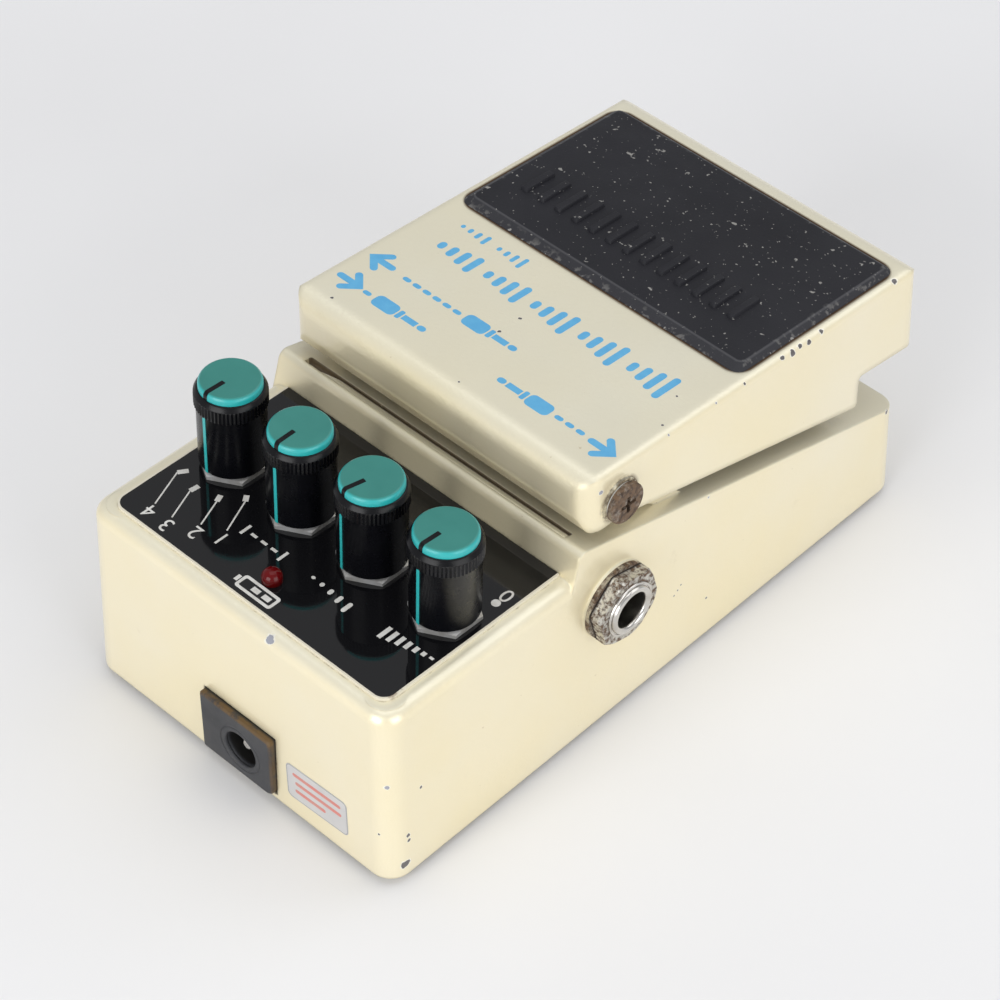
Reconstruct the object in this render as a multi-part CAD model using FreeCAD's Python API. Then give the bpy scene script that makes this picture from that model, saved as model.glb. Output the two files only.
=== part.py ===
import FreeCAD, Part
import math
import os

# A compact digital delay pedal in millimetres. +X is the player's right, +Y runs from the toe end to the
# rear of the pedal, +Z is up, and the origin is the middle of the rubber base's underside.

# Driving dimensions of the housing
body_length = 126.5
body_width = 70.6
draft_angle = 1.58
corner_radius = 4.0
wall = 2.4
rubber_thickness = 1.6
rubber_inset = 1.4
rim_inset = 2.6
plate_thickness = 1.2
plate_gap = 0.2
deck_height = 36.52
deck_rise = 0.29
crest_radius = 1.6
block_edge_radius = 2.3
post_radius = 3.3
post_inset = 5.7
screw_hole_radius = 1.25
screw_head_radius = 3.1
screw_head_height = 1.4
gutter_depth = 1.2
gutter_width = 1.6
gutter_half_length = 29.5
gutter_gap = 0.35

# Driving dimensions of the control panel and its knobs
panel_depth = 39.1
panel_margin = 3.86
panel_side_margin = 4.2
panel_thickness = 0.6
panel_front_height = deck_height + 0.03
panel_rise = 0.0315
panel_corner_radius = 2.5
steep_rise = 5.99
steep_run = 1.62
knob_pitch = 16.06
knob_row_offset = 18.7
knob_height = 18.3
knob_radius = 5.8
ring_radius = 6.1
ring_height = 3.44
shoulder_height = 0.9
shoulder_width = 0.55
cap_radius = 5.31
cap_flat_radius = 4.78
cap_height = 1.4
cap_edge_height = 0.9
knob_lift = 0.3
stripe_width = 0.65
stripe_depth = 0.9
pointer_start = 1.3
pointer_depth = 0.25
shaft_radius = 3.0
bush_radius = 3.5
bush_reach = 3.4
running_gap = 0.05
pot_width = 12.5
pot_depth = 7.0
pot_washer_thickness = 0.5
pot_nut_width = 10.6
pot_nut_thickness = 1.0
lamp_offset = 6.13
lamp_radius = 1.75
lamp_height = 2.3

# Driving dimensions of the treadle and its pivots
treadle_side_inset = 1.5
treadle_draft_angle = 0.85
treadle_wall = 2.2
treadle_corner_radius = 4.0
treadle_edge_radius = 1.2
treadle_top_height = deck_height + 16.71
treadle_top_rise = 0.0882
skirt_height = deck_height + 3.68
skirt_rise = 0.297
toe_overhang = 4.75
nose_length = 16.3
nose_height = deck_height - 7.02
pivot_ahead_of_panel = 11.11
pivot_height = deck_height + 10.5
rear_reach = 6.4
rear_drop = 3.9
rear_bulge = 1.25
rear_bulge_height = 3.6
rear_low_radius = 1.0
rear_top_radius = 3.4
nose_rise = 2.2
toe_top_radius = 4.6
toe_lean = 0.045
ear_thickness = 3.6
ear_radius = 2.6
ear_angle = 145.0
side_clearance = 0.4
pivot_screw_radius = 1.4
pivot_shoulder_radius = 2.0
pivot_bush_radius = 2.8
pivot_head_radius = 3.7
pivot_head_thickness = 1.25
pivot_flange_thickness = 0.3
pivot_boss_radius = 4.0
pad_margin = 2.4
pad_length = 40.5
pad_front_margin = 6.08
pad_thickness = 1.5
pad_proud = 0.3
pad_corner_radius = 3.0

# Driving dimensions of the locking screw, the foot switch and the return spring
lock_height = deck_height - 9.72
lock_head_radius = 4.6
lock_head_length = 5.2
lock_travel = 5.0
lock_stem_radius = 1.9
lock_stem_length = 9.4
insert_radius = 2.9
insert_boss_radius = 3.9
insert_length = 3.5
groove_radius = 6.2
groove_drop = 0.6
lug_half_width = 6.0
lug_thickness = 3.7
press_allowance = 1.25
switch_x = -18.0
switch_behind_wall = 5.3
plunger_radius = 1.8
plunger_rise = 3.4
plunger_travel = 0.7
pusher_radius = 3.0
pusher_gap = 1.1
spring_radius = 6.5
spring_wire_radius = 0.65
spring_turns = 8
spring_seat_height = deck_height - 12.42
spring_cup_radius = 8.0
spring_top_gap = 0.55

# Driving dimensions of the battery and its well
battery_length = 48.5
battery_width = 26.5
battery_height = 17.5
well_length = 56.0
well_clearance = 0.5
well_ahead = 21.1
well_wall = 1.6
well_corner_radius = 1.2
well_floor_height = 4.4

# Driving dimensions of the jacks, the power socket and the boards
jack_height = deck_height - 10.22
jack_well_gap = 3.14
direct_jack_spacing = 15.5
jack_bore_radius = 3.2
jack_sleeve_radius = 4.7
jack_washer_radius = 7.1
jack_washer_thickness = 0.8
jack_nut_width = 12.7
jack_nut_thickness = 2.4
jack_reach = 4.1
jack_body_width = 10.8
jack_body_length = 20.4
socket_left = -9.1
socket_right = 7.4
socket_low = 1.0
socket_height = 14.4
socket_x = -1.9
socket_body_half = 5.2
socket_corner_radius = 1.5
bezel_depth = 2.6
socket_proud = 1.0
socket_hole_radius = 3.5
socket_pin_radius = 1.05
socket_hole_height = 7.16
socket_depth = 11.2
board_thickness = 1.6
main_board_height = jack_height - 12.6
board_side_gap = 2.6
board_front_gap = 3.0
board_rear_gap = 2.65
board_corner = 4.5
chip_height = 3.4
standoff_radius = 3.0

V = FreeCAD.Vector
up = V(0, 0, 1)
origin = V(0, 0, 0)

# Places that follow from the driving dimensions
rim_z = rubber_thickness
front_y = -body_length / 2
rear_y = body_length / 2
half_width = body_width / 2
panel_rear_y = rear_y - panel_margin
panel_front_y = panel_rear_y - panel_depth
panel_half_width = half_width - panel_side_margin
knob_row_y = panel_front_y + knob_row_offset
pivot_y = panel_front_y - pivot_ahead_of_panel
pivot_z = rim_z + pivot_height
jack_z = rim_z + jack_height
toe_y = front_y - toe_overhang
skirt_front_y = toe_y + nose_length
lock_z = rim_z + lock_height
plate_top_z = rim_z + plate_thickness
treadle_half_width = half_width - treadle_side_inset
treadle_inner = treadle_half_width - treadle_wall
ear_outer_x = treadle_inner - side_clearance
well_front_y = front_y + well_ahead
well_rear_y = well_front_y + battery_width + 2 * well_clearance
well_floor_z = rim_z + well_floor_height
spring_y = well_rear_y + 2 * well_wall + spring_cup_radius + 0.05
direct_jack_y = well_rear_y + well_wall + jack_well_gap + jack_body_width / 2
jack_y = direct_jack_y + direct_jack_spacing
treadle_roof = treadle_wall * 1.15
main_board_width = 2 * (half_width - wall - board_side_gap - wall)
board_front_y = well_rear_y + well_wall + board_front_gap
board_rear_y = rear_y + socket_proud - socket_depth - board_rear_gap
main_board_length = board_rear_y - board_front_y
switch_y = skirt_front_y + switch_behind_wall


def deck_z(y):
    return rim_z + deck_height + deck_rise * y


def deck_under_z(y):
    return deck_z(y) - wall * math.hypot(1, deck_rise)


def panel_top_z(y):
    return rim_z + panel_front_height + panel_rise * (y - panel_front_y)


def roof_z(y):
    return panel_top_z(y) - panel_thickness


def treadle_top_z(y):
    return rim_z + treadle_top_height + treadle_top_rise * y


def skirt_z(y):
    return rim_z + skirt_height + skirt_rise * y


def side_x(z):
    return half_width - (z - rim_z) * math.tan(math.radians(draft_angle))


# A closed outline of straight runs with rounded corners. Each point holds its two coordinates and the
# radius of its corner, and place turns the two coordinates into a point in space.
def outline(points, place):
    count = len(points)
    corners = []
    for i, (a, b, radius) in enumerate(points):
        here = V(a, b, 0)
        if radius == 0:
            corners.append([here])
            continue
        before = V(points[i - 1][0], points[i - 1][1], 0)
        after = V(points[(i + 1) % count][0], points[(i + 1) % count][1], 0)
        back = (before - here).normalize()
        ahead = (after - here).normalize()
        half_turn = back.getAngle(ahead) / 2
        reach = radius / math.tan(half_turn)
        inward = (back + ahead).normalize() * (radius / math.sin(half_turn) - radius)
        corners.append([here + back * reach, here + inward, here + ahead * reach])
    edges = []
    for i, corner in enumerate(corners):
        if len(corner) == 3:
            edges.append(Part.Arc(*[place(p) for p in corner]).toShape())
        start = corner[-1]
        end = corners[(i + 1) % count][0]
        if start.distanceToPoint(end) > 1e-6:
            edges.append(Part.LineSegment(place(start), place(end)).toShape())
    return Part.Wire(edges)


def flat_prism(points, z0, z1):
    wire = outline(points, lambda p: V(p.x, p.y, z0))
    return Part.Face(wire).extrude(V(0, 0, z1 - z0))


def side_prism(points, x0, x1):
    wire = outline(points, lambda p: V(x0, p.x, p.y))
    return Part.Face(wire).extrude(V(x1 - x0, 0, 0))


def front_prism(points, y0, y1):
    wire = outline(points, lambda p: V(p.x, y0, p.y))
    return Part.Face(wire).extrude(V(0, y1 - y0, 0))


def rectangle(a0, a1, b0, b1, radius=0):
    return [(a0, b0, radius), (a1, b0, radius), (a1, b1, radius), (a0, b1, radius)]


def polygon(sides, width, a=0, b=0, turn=0):
    reach = width / 2 / math.cos(math.pi / sides)
    angles = [2 * math.pi * (i + 0.5) / sides + turn for i in range(sides)]
    return [(a + reach * math.cos(t), b + reach * math.sin(t), 0) for t in angles]


def block(x0, x1, y0, y1, z0, z1):
    return Part.makeBox(x1 - x0, y1 - y0, z1 - z0, V(x0, y0, z0))


def post(radius, x, y, z0, z1):
    return Part.makeCylinder(radius, z1 - z0, V(x, y, z0), up)


def along_x(radius, x0, x1, y, z):
    return Part.makeCylinder(radius, x1 - x0, V(x0, y, z), V(1, 0, 0))


def along_y(radius, y0, y1, x, z):
    return Part.makeCylinder(radius, y1 - y0, V(x, y0, z), V(0, 1, 0))


def mirrored(shape):
    return shape.mirror(origin, V(1, 0, 0))


# Half profiles of turned pieces are given as radius and height.
def turned(points):
    wire = outline(points, lambda p: V(p.x, 0, p.y))
    return Part.Face(wire).revolve(origin, up, 360)


# A drafted block with upright rounded corners, drawn in by the draft as it rises.
def drafted_block(half_x, y0, y1, radius, z0, z1, angle):
    shrink = (z1 - z0) * math.tan(math.radians(angle))
    low = outline(rectangle(-half_x, half_x, y0, y1, radius), lambda p: V(p.x, p.y, z0))
    high_points = rectangle(shrink - half_x, half_x - shrink, y0 + shrink, y1 - shrink, radius)
    high = outline(high_points, lambda p: V(p.x, p.y, z1))
    return Part.makeLoft([low, high], True, True)


# Edges whose middle passes a test, for rounding.
def edges_where(shape, test):
    return [e for e in shape.Edges if test(e.valueAt((e.FirstParameter + e.LastParameter) / 2), e)]


def save(name, shape):
    shape.exportStep("parts/" + name + ".step")
    print(name, len(shape.Solids), round(shape.Volume, 1), shape.isValid())


# Housing: a drafted shell with a sloping deck, a crest behind the treadle and a level rear block.
def housing_profile(inset):
    slant = inset * math.hypot(1, deck_rise)
    steep = steep_run / steep_rise
    foot_y = panel_front_y - inset * math.hypot(1, steep)
    foot_z = roof_z(foot_y) - inset
    beyond = 10
    base_z = rim_z - beyond if inset else rim_z
    deck_at_foot = deck_z(foot_y) - slant
    crest_y = foot_y - (deck_at_foot - foot_z) * steep / (1 + deck_rise * steep)
    crest_z = deck_z(crest_y) - slant
    return [
        (front_y - beyond, base_z, 0),
        (rear_y + beyond, base_z, 0),
        (rear_y + beyond, roof_z(rear_y + beyond) - inset, 0),
        (foot_y, foot_z, 0),
        (crest_y, crest_z, 0 if inset else crest_radius),
        (front_y - beyond, deck_z(front_y - beyond) - slant, 0),
    ]


def housing_outer():
    top_z = rim_z + pivot_height
    loft = drafted_block(half_width, front_y, rear_y, corner_radius, rim_z, top_z, draft_angle)
    return loft.common(side_prism(housing_profile(0), -body_width, body_width))


def housing_inner():
    top_z = rim_z + pivot_height
    loft = drafted_block(
        half_width - wall, front_y + wall, rear_y - wall, corner_radius - wall, rim_z, top_z, draft_angle
    )
    rim = flat_prism(
        rectangle(
            rim_inset - half_width, half_width - rim_inset, front_y + rim_inset, rear_y - rim_inset,
            corner_radius - wall,
        ),
        rim_z - 1, rim_z,
    )
    return loft.common(side_prism(housing_profile(wall), -body_width, body_width)).fuse(rim)


def post_places():
    x = half_width - post_inset
    y = rear_y - post_inset
    return [(-x, -y), (x, -y), (-x, y), (x, y)]


# The ear that carries a pivot: a slanted arm that leaves the sweep of the treadle's rear wall free.
def pivot_ear():
    angle = math.radians(ear_angle)
    along = V(math.cos(angle), -math.sin(angle), 0)
    across = V(math.sin(angle), math.cos(angle), 0)
    centre = V(pivot_y, pivot_z, 0)
    low = centre + across * ear_radius
    high = centre - across * ear_radius
    tip = centre - along * ear_radius
    low_end = low + along * 20
    front_end = V(low_end.x - 10, low_end.y - 6, 0)
    face_wire = Part.Wire([
        Part.Arc(V(0, low.x, low.y), V(0, tip.x, tip.y), V(0, high.x, high.y)).toShape(),
        Part.makePolygon([V(0, high.x, high.y), V(0, front_end.x, front_end.y),
                          V(0, low_end.x, low_end.y), V(0, low.x, low.y)]),
    ])
    arm = Part.Face(face_wire).extrude(V(ear_thickness, 0, 0))
    arm.translate(V(ear_outer_x - ear_thickness, 0, 0))
    above_deck = side_prism(
        [(front_y, deck_under_z(front_y), 0), (rear_y, deck_under_z(rear_y), 0),
         (rear_y, rear_y + body_length, 0), (front_y, rear_y + body_length, 0)],
        0, body_width,
    )
    return arm.common(above_deck)


def make_housing():
    outer = housing_outer()
    lowest = rim_z + 15

    def block_edge(p, e):
        return p.z > lowest and p.y > panel_front_y + 1

    shell = outer.makeFillet(block_edge_radius, edges_where(outer, block_edge))
    shell = shell.cut(housing_inner())
    inside = outer

    added = []
    removed = [deck_gutter()]
    for x, y in post_places():
        added.append(post(post_radius, x, y, plate_top_z, rim_z + pivot_height).common(inside))
        removed.append(post(screw_hole_radius, x, y, plate_top_z - 1, plate_top_z + 9))

    # Battery well, open on the deck
    half_well = well_length / 2
    deep = flat_prism(
        rectangle(-half_well - well_wall, half_well + well_wall, well_front_y - well_wall,
                  well_rear_y + well_wall, well_corner_radius + well_wall),
        well_floor_z - well_wall, rim_z + pivot_height,
    )
    added.append(deep.common(inside))
    well = flat_prism(
        rectangle(-half_well, half_well, well_front_y, well_rear_y, well_corner_radius), well_floor_z,
        rim_z + pivot_height,
    )
    removed.append(well)

    # Cup for the return spring
    cup_floor = rim_z + spring_seat_height
    cup = post(spring_cup_radius + well_wall, 0, spring_y, cup_floor - well_wall, rim_z + pivot_height)
    added.append(cup.common(inside))
    removed.append(post(spring_cup_radius, 0, spring_y, cup_floor, rim_z + pivot_height))

    # Groove for the locking screw's head, and the lug that the screw's nose enters
    groove_z = lock_z - groove_drop
    groove_end = lug_front_y() - 0.6
    liner = along_y(groove_radius + well_wall, front_y - 1, groove_end + well_wall, 0, groove_z)
    added.append(liner.common(inside))
    removed.append(along_y(groove_radius, front_y - 2, groove_end, 0, groove_z))
    lug_top = lock_z + lug_half_width - 1.2
    lug = front_prism(
        [(-lug_half_width, deck_under_z(lug_front_y()), 0), (lug_half_width, deck_under_z(lug_front_y()), 0),
         (lug_half_width, lug_top, 3.0), (-lug_half_width, lug_top, 3.0)],
        lug_front_y(), lug_front_y() + lug_thickness,
    )
    added.append(lug)
    removed.append(bush_outline_prism(lug_front_y(), lug_front_y() + lug_thickness))
    removed.append(nose_slot(lug_front_y() - 1, well_front_y + 1))

    # Pivot ears with their threaded holes
    ear = pivot_ear()
    ear = ear.cut(along_x(pivot_screw_radius, 0, body_width, pivot_y, pivot_z))
    added.append(ear)
    added.append(mirrored(ear))

    # Jack holes with flat seats for their washers
    seat_x = jack_seat_x()
    for side, y in jack_places():
        seat = along_x(jack_washer_radius + 0.1, half_width - wall, seat_x, y, jack_z)
        hole = along_x(jack_sleeve_radius + 0.1, 0, half_width + 1, y, jack_z)
        inner_face = along_x(jack_washer_radius, jack_inner_x() - 3, jack_inner_x(), y, jack_z)
        added.append(seat if side > 0 else mirrored(seat))
        removed.append(hole if side > 0 else mirrored(hole))
        removed.append(inner_face if side > 0 else mirrored(inner_face))

    # Holes for the control bushes, the lamp, the foot switch and the power socket
    for x in knob_places():
        hole = post(bush_radius + 0.1, 0, 0, -wall * 3, 1)
        removed.append(at_panel(hole, x, knob_row_y))
    removed.append(at_panel(post(lamp_radius - 0.25, 0, 0, -wall * 3, 1), 0, lamp_y()))
    removed.append(post(plunger_radius + 0.3, switch_x, switch_y, rim_z + 10, rim_z + pivot_height))
    removed.append(block(socket_left - 0.1, socket_right + 0.1, rear_y - wall - 3, rear_y + 2,
                         rim_z + socket_low - 0.1, rim_z + socket_height + 0.1))
    removed.append(block(lead_x() - 1.6, lead_x() + 1.6, well_rear_y - 1, well_rear_y + well_wall + 1,
                         lead_z() - 3.2, lead_z() + 3.2))
    return shell.multiFuse(added).cut(Part.makeCompound(removed)).removeSplitter()


# A shallow gutter across the deck behind the treadle's rear wall
def deck_gutter():
    y0 = pivot_y + rear_reach + gutter_gap
    y1 = y0 + gutter_width
    points = [(y0, deck_z(y0) - gutter_depth, 0.3), (y1, deck_z(y1) - gutter_depth, 0.3),
              (y1, deck_z(y1) + gutter_depth, 0), (y0, deck_z(y0) + gutter_depth, 0)]
    return side_prism(points, -gutter_half_length, gutter_half_length)


def lug_front_y():
    return skirt_front_y + 4.7


def knob_places():
    return [knob_pitch * k for k in (1.5, 0.5, -0.5, -1.5)]


def lamp_y():
    return panel_rear_y - lamp_offset


def jack_places():
    return [(-1, jack_y), (1, jack_y), (1, direct_jack_y)]


def jack_seat_x():
    return side_x(jack_z - jack_washer_radius) + 0.02


def jack_inner_x():
    return side_x(jack_z) - wall - 0.1


def lead_z():
    return rim_z + main_board_height - 4.4


def lead_x():
    return -well_length / 2 + battery_length + 3.6


# Pieces of a control are built about +Z from the panel's top face, then tilted with the panel.
def at_panel(shape, x, y):
    tilt = math.degrees(math.atan(panel_rise))
    placed = shape.copy()
    placed.rotate(origin, V(1, 0, 0), tilt)
    placed.translate(V(x, y, panel_top_z(y)))
    return placed


def bush_outline_prism(y0, y1):
    half = lock_stem_radius + 1.5
    top = lock_z + half
    bottom = lock_z - lock_stem_radius - press_allowance - 0.95
    return front_prism(rectangle(-half, half, bottom, top, half - 0.1), y0, y1)


def nose_slot(y0, y1):
    half = lock_stem_radius + 0.2
    top = lock_z + half
    bottom = lock_z - lock_stem_radius - press_allowance
    return front_prism(rectangle(-half, half, bottom, top, half - 0.05), y0, y1)


def make_guide_bush():
    y0 = lug_front_y()
    y1 = y0 + lug_thickness
    return bush_outline_prism(y0, y1).cut(nose_slot(y0 - 1, y1 + 1))


def make_bottom_plate():
    edge = rim_inset + plate_gap
    plate = flat_prism(
        rectangle(edge - half_width, half_width - edge, front_y + edge, rear_y - edge,
                  corner_radius - wall),
        rim_z, plate_top_z,
    )
    holes = [post(screw_hole_radius + 0.25, x, y, 0, plate_top_z + 1) for x, y in post_places()]
    socket_notch = block(socket_left - 0.3, socket_right + 0.3, rear_y - wall - 0.9, rear_y, 0,
                         plate_top_z + 1)
    return plate.cut(Part.makeCompound(holes + [socket_notch]))


def make_rubber_base():
    half = half_width - rubber_inset
    base = flat_prism(
        rectangle(-half, half, front_y + rubber_inset, rear_y - rubber_inset, corner_radius), 0, rim_z
    )
    holes = [post(screw_head_radius + 0.5, x, y, -1, rim_z + 1) for x, y in post_places()]
    return base.cut(Part.makeCompound(holes))


def make_bottom_screws():
    screws = []
    for x, y in post_places():
        head = post(screw_head_radius, x, y, rim_z - screw_head_height, rim_z)
        head = head.makeFillet(0.6, edges_where(head, lambda p, e: p.z < rim_z - screw_head_height + 0.1
                                                and e.Length > 5))
        shank = post(screw_hole_radius, x, y, rim_z - 0.4, plate_top_z + 8)
        screws.append(head.fuse(shank).removeSplitter())
    return Part.makeCompound(screws)


# Control panel: a thin plate that lies on the rear block.
def make_control_panel():
    plan = flat_prism(
        [(-panel_half_width, panel_front_y + 0.03, 0), (panel_half_width, panel_front_y + 0.03, 0),
         (panel_half_width, panel_rear_y, panel_corner_radius),
         (-panel_half_width, panel_rear_y, panel_corner_radius)],
        rim_z + 20, rim_z + pivot_height,
    )
    slab = side_prism(
        [(panel_front_y, roof_z(panel_front_y), 0), (panel_rear_y, roof_z(panel_rear_y), 0),
         (panel_rear_y, panel_top_z(panel_rear_y), 0), (panel_front_y, panel_top_z(panel_front_y), 0)],
        -body_width, body_width,
    )
    plate = plan.common(slab)
    holes = [at_panel(post(bush_radius + 0.1, 0, 0, -3, 3), x, knob_row_y) for x in knob_places()]
    holes.append(at_panel(post(lamp_radius - 0.25, 0, 0, -3, 3), 0, lamp_y()))
    return plate.cut(Part.makeCompound(holes))


def make_lamp():
    dome = turned([(0, 0, 0), (lamp_radius, 0, 0), (lamp_radius, lamp_height, lamp_radius * 0.9),
                   (0, lamp_height, 0)])
    stem = post(lamp_radius - 0.25, 0, 0, -pot_depth - wall, 0)
    return at_panel(dome.fuse(stem).removeSplitter(), 0, lamp_y())


# Controls: pot or switch with its threaded bush, washer, hex nut, shaft, knob body and knob cap
def pot_top():
    return -panel_thickness - wall - pot_washer_thickness


def make_pot(x):
    half = pot_width / 2
    body = flat_prism(rectangle(-half, half, -half, half, 1.0), pot_top() - pot_depth, pot_top())
    bush = post(bush_radius, 0, 0, pot_top(), bush_reach)
    bore = post(shaft_radius + running_gap, 0, 0, pot_top() - pot_depth + 1.2, bush_reach + 1)
    lugs = [block(k * 3.4 - 0.6, k * 3.4 + 0.6, -half - 1.6, -half, pot_top() - pot_depth,
                  pot_top() - pot_depth + 0.6) for k in (-1, 0, 1)]
    return at_panel(body.fuse([bush] + lugs).cut(bore).removeSplitter(), x, knob_row_y)


def make_pot_washer(x):
    ring = post(bush_radius + 2.2, 0, 0, pot_top(), pot_top() + pot_washer_thickness)
    return at_panel(ring.cut(post(bush_radius, 0, 0, pot_top() - 1, 0)), x, knob_row_y)


def make_pot_nut(x):
    nut = flat_prism(polygon(6, pot_nut_width), 0, pot_nut_thickness)
    trim = turned([(0, 0, 0), (pot_nut_width * 0.575, 0, 0), (pot_nut_width * 0.575, 0.6, 0),
                   (pot_nut_width * 0.5, pot_nut_thickness, 0), (0, pot_nut_thickness, 0)])
    return at_panel(nut.common(trim).cut(post(bush_radius, 0, 0, -1, 3)), x, knob_row_y)


def make_shaft():
    top = knob_height - cap_height - 1.0
    shaft = post(shaft_radius, 0, 0, pot_top() - pot_depth + 1.6, top)
    flat = block(-5, 5, shaft_radius - 0.8, shaft_radius + 1, bush_reach + 0.6, top + 1)
    return shaft.cut(flat)


def stripe_bar():
    half = stripe_width / 2
    low = pot_nut_thickness + knob_lift
    ring_low = knob_height - cap_height - ring_height
    ring_top = knob_height - cap_height
    outer = post(knob_radius + 0.03, 0, 0, low, ring_low)
    side = block(-half, half, knob_radius - stripe_depth, knob_radius + 1, low, ring_low).common(outer)
    hidden = block(-half, half, knob_radius - stripe_depth, cap_radius - 0.02, ring_low, ring_top)
    return side.fuse(hidden).removeSplitter()


def make_knob_body(shaft):
    low = pot_nut_thickness + knob_lift
    ring_low = knob_height - cap_height - ring_height
    ring_top = knob_height - cap_height
    body = turned([
        (0, low, 0), (knob_radius, low, 0), (knob_radius, ring_low, 0), (ring_radius - 0.12, ring_low, 0),
        (ring_radius, ring_low + 0.15, 0), (ring_radius, ring_top - shoulder_height, 0.2),
        (ring_radius - shoulder_width, ring_top, 0.15), (0, ring_top, 0),
    ])
    hollow = post(bush_radius + 0.9, 0, 0, low - 1, bush_reach + 2.2)
    return body.cut(Part.makeCompound([hollow, shaft, stripe_bar()]))


def make_knob_cap():
    low = knob_height - cap_height
    shoulder = knob_height - cap_edge_height
    middle = V(cap_radius - 0.13, 0, knob_height - 0.38)
    edge = Part.Arc(V(cap_radius, 0, shoulder), middle, V(cap_flat_radius, 0, knob_height)).toShape()
    rest = Part.makePolygon([V(cap_flat_radius, 0, knob_height), V(0, 0, knob_height), V(0, 0, low),
                             V(cap_radius, 0, low), V(cap_radius, 0, shoulder)])
    cap = Part.Face(Part.Wire([edge] + rest.Edges)).revolve(origin, up, 360)
    half = stripe_width / 2
    groove = block(-half, half, pointer_start, cap_radius + 1, knob_height - pointer_depth, knob_height + 1)
    over_edge = block(-half, half, cap_radius - pointer_depth, cap_radius + 1, low + 0.3, knob_height + 1)
    return cap.cut(groove.fuse(over_edge)).fuse(stripe_bar()).removeSplitter()


# Treadle: a shell whose outer form is the meeting of three outlines, its side profile with a bulging rear
# face, its plan with rounded upright corners, and its drafted section with rounded top edges.
def toe_face_y(z):
    return toe_y + (z - rim_z - nose_height) * toe_lean


def treadle_profile():
    rear_low_y = pivot_y + rear_reach
    rear_low_z = pivot_z - rear_drop
    toe_top_y = toe_face_y(treadle_top_z(toe_y))
    return [
        (rear_low_y, rear_low_z, rear_low_radius),
        (rear_low_y + rear_bulge, rear_low_z + rear_bulge_height, 5.0),
        (rear_low_y + rear_bulge, treadle_top_z(rear_low_y + rear_bulge), rear_top_radius),
        (toe_top_y, treadle_top_z(toe_top_y), toe_top_radius),
        (toe_y, rim_z + nose_height, 0.6),
        (skirt_front_y, rim_z + nose_height + nose_rise, 0.8),
        (skirt_front_y, skirt_z(skirt_front_y), 0.6),
        (pivot_y, skirt_z(pivot_y), 8.0),
    ]


def treadle_outer():
    low_z = skirt_z(skirt_front_y) - 1
    high_z = treadle_top_z(pivot_y) + 3
    shrink = (high_z - low_z) * math.tan(math.radians(treadle_draft_angle))
    rear = pivot_y + rear_reach + rear_bulge

    def plan_wire(half, z):
        points = rectangle(-half, half, toe_face_y(z), rear, treadle_corner_radius)
        return outline(points, lambda p: V(p.x, p.y, z))

    low = plan_wire(treadle_half_width, low_z)
    high = plan_wire(treadle_half_width - shrink, high_z)
    plan = Part.makeLoft([low, high], True, True)
    half = treadle_half_width + 0.02
    section_y = toe_y - 5
    top = treadle_top_z(section_y)
    top_half = half - (treadle_top_z(pivot_y) - low_z) * math.tan(math.radians(treadle_draft_angle))
    section = outline(
        [(-half, low_z - body_length * treadle_top_rise, 0),
         (half, low_z - body_length * treadle_top_rise, 0),
         (top_half, top, treadle_edge_radius), (-top_half, top, treadle_edge_radius)],
        lambda p: V(p.x, section_y, p.y),
    )
    along_top = V(0, body_length, body_length * treadle_top_rise)
    bar = Part.Face(section).extrude(along_top)
    return plan.common(side_prism(treadle_profile(), -body_width, body_width)).common(bar)


def treadle_inner_profile():
    inner_rear_y = pivot_y + rear_reach - 1.9
    inner_front_y = skirt_front_y + 2.0
    return [
        (inner_rear_y, rim_z + 10, 0),
        (inner_rear_y, treadle_top_z(inner_rear_y) - treadle_roof, 1.0),
        (inner_front_y, treadle_top_z(inner_front_y) - treadle_roof, 1.0),
        (inner_front_y, rim_z + 10, 0),
    ]


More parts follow.
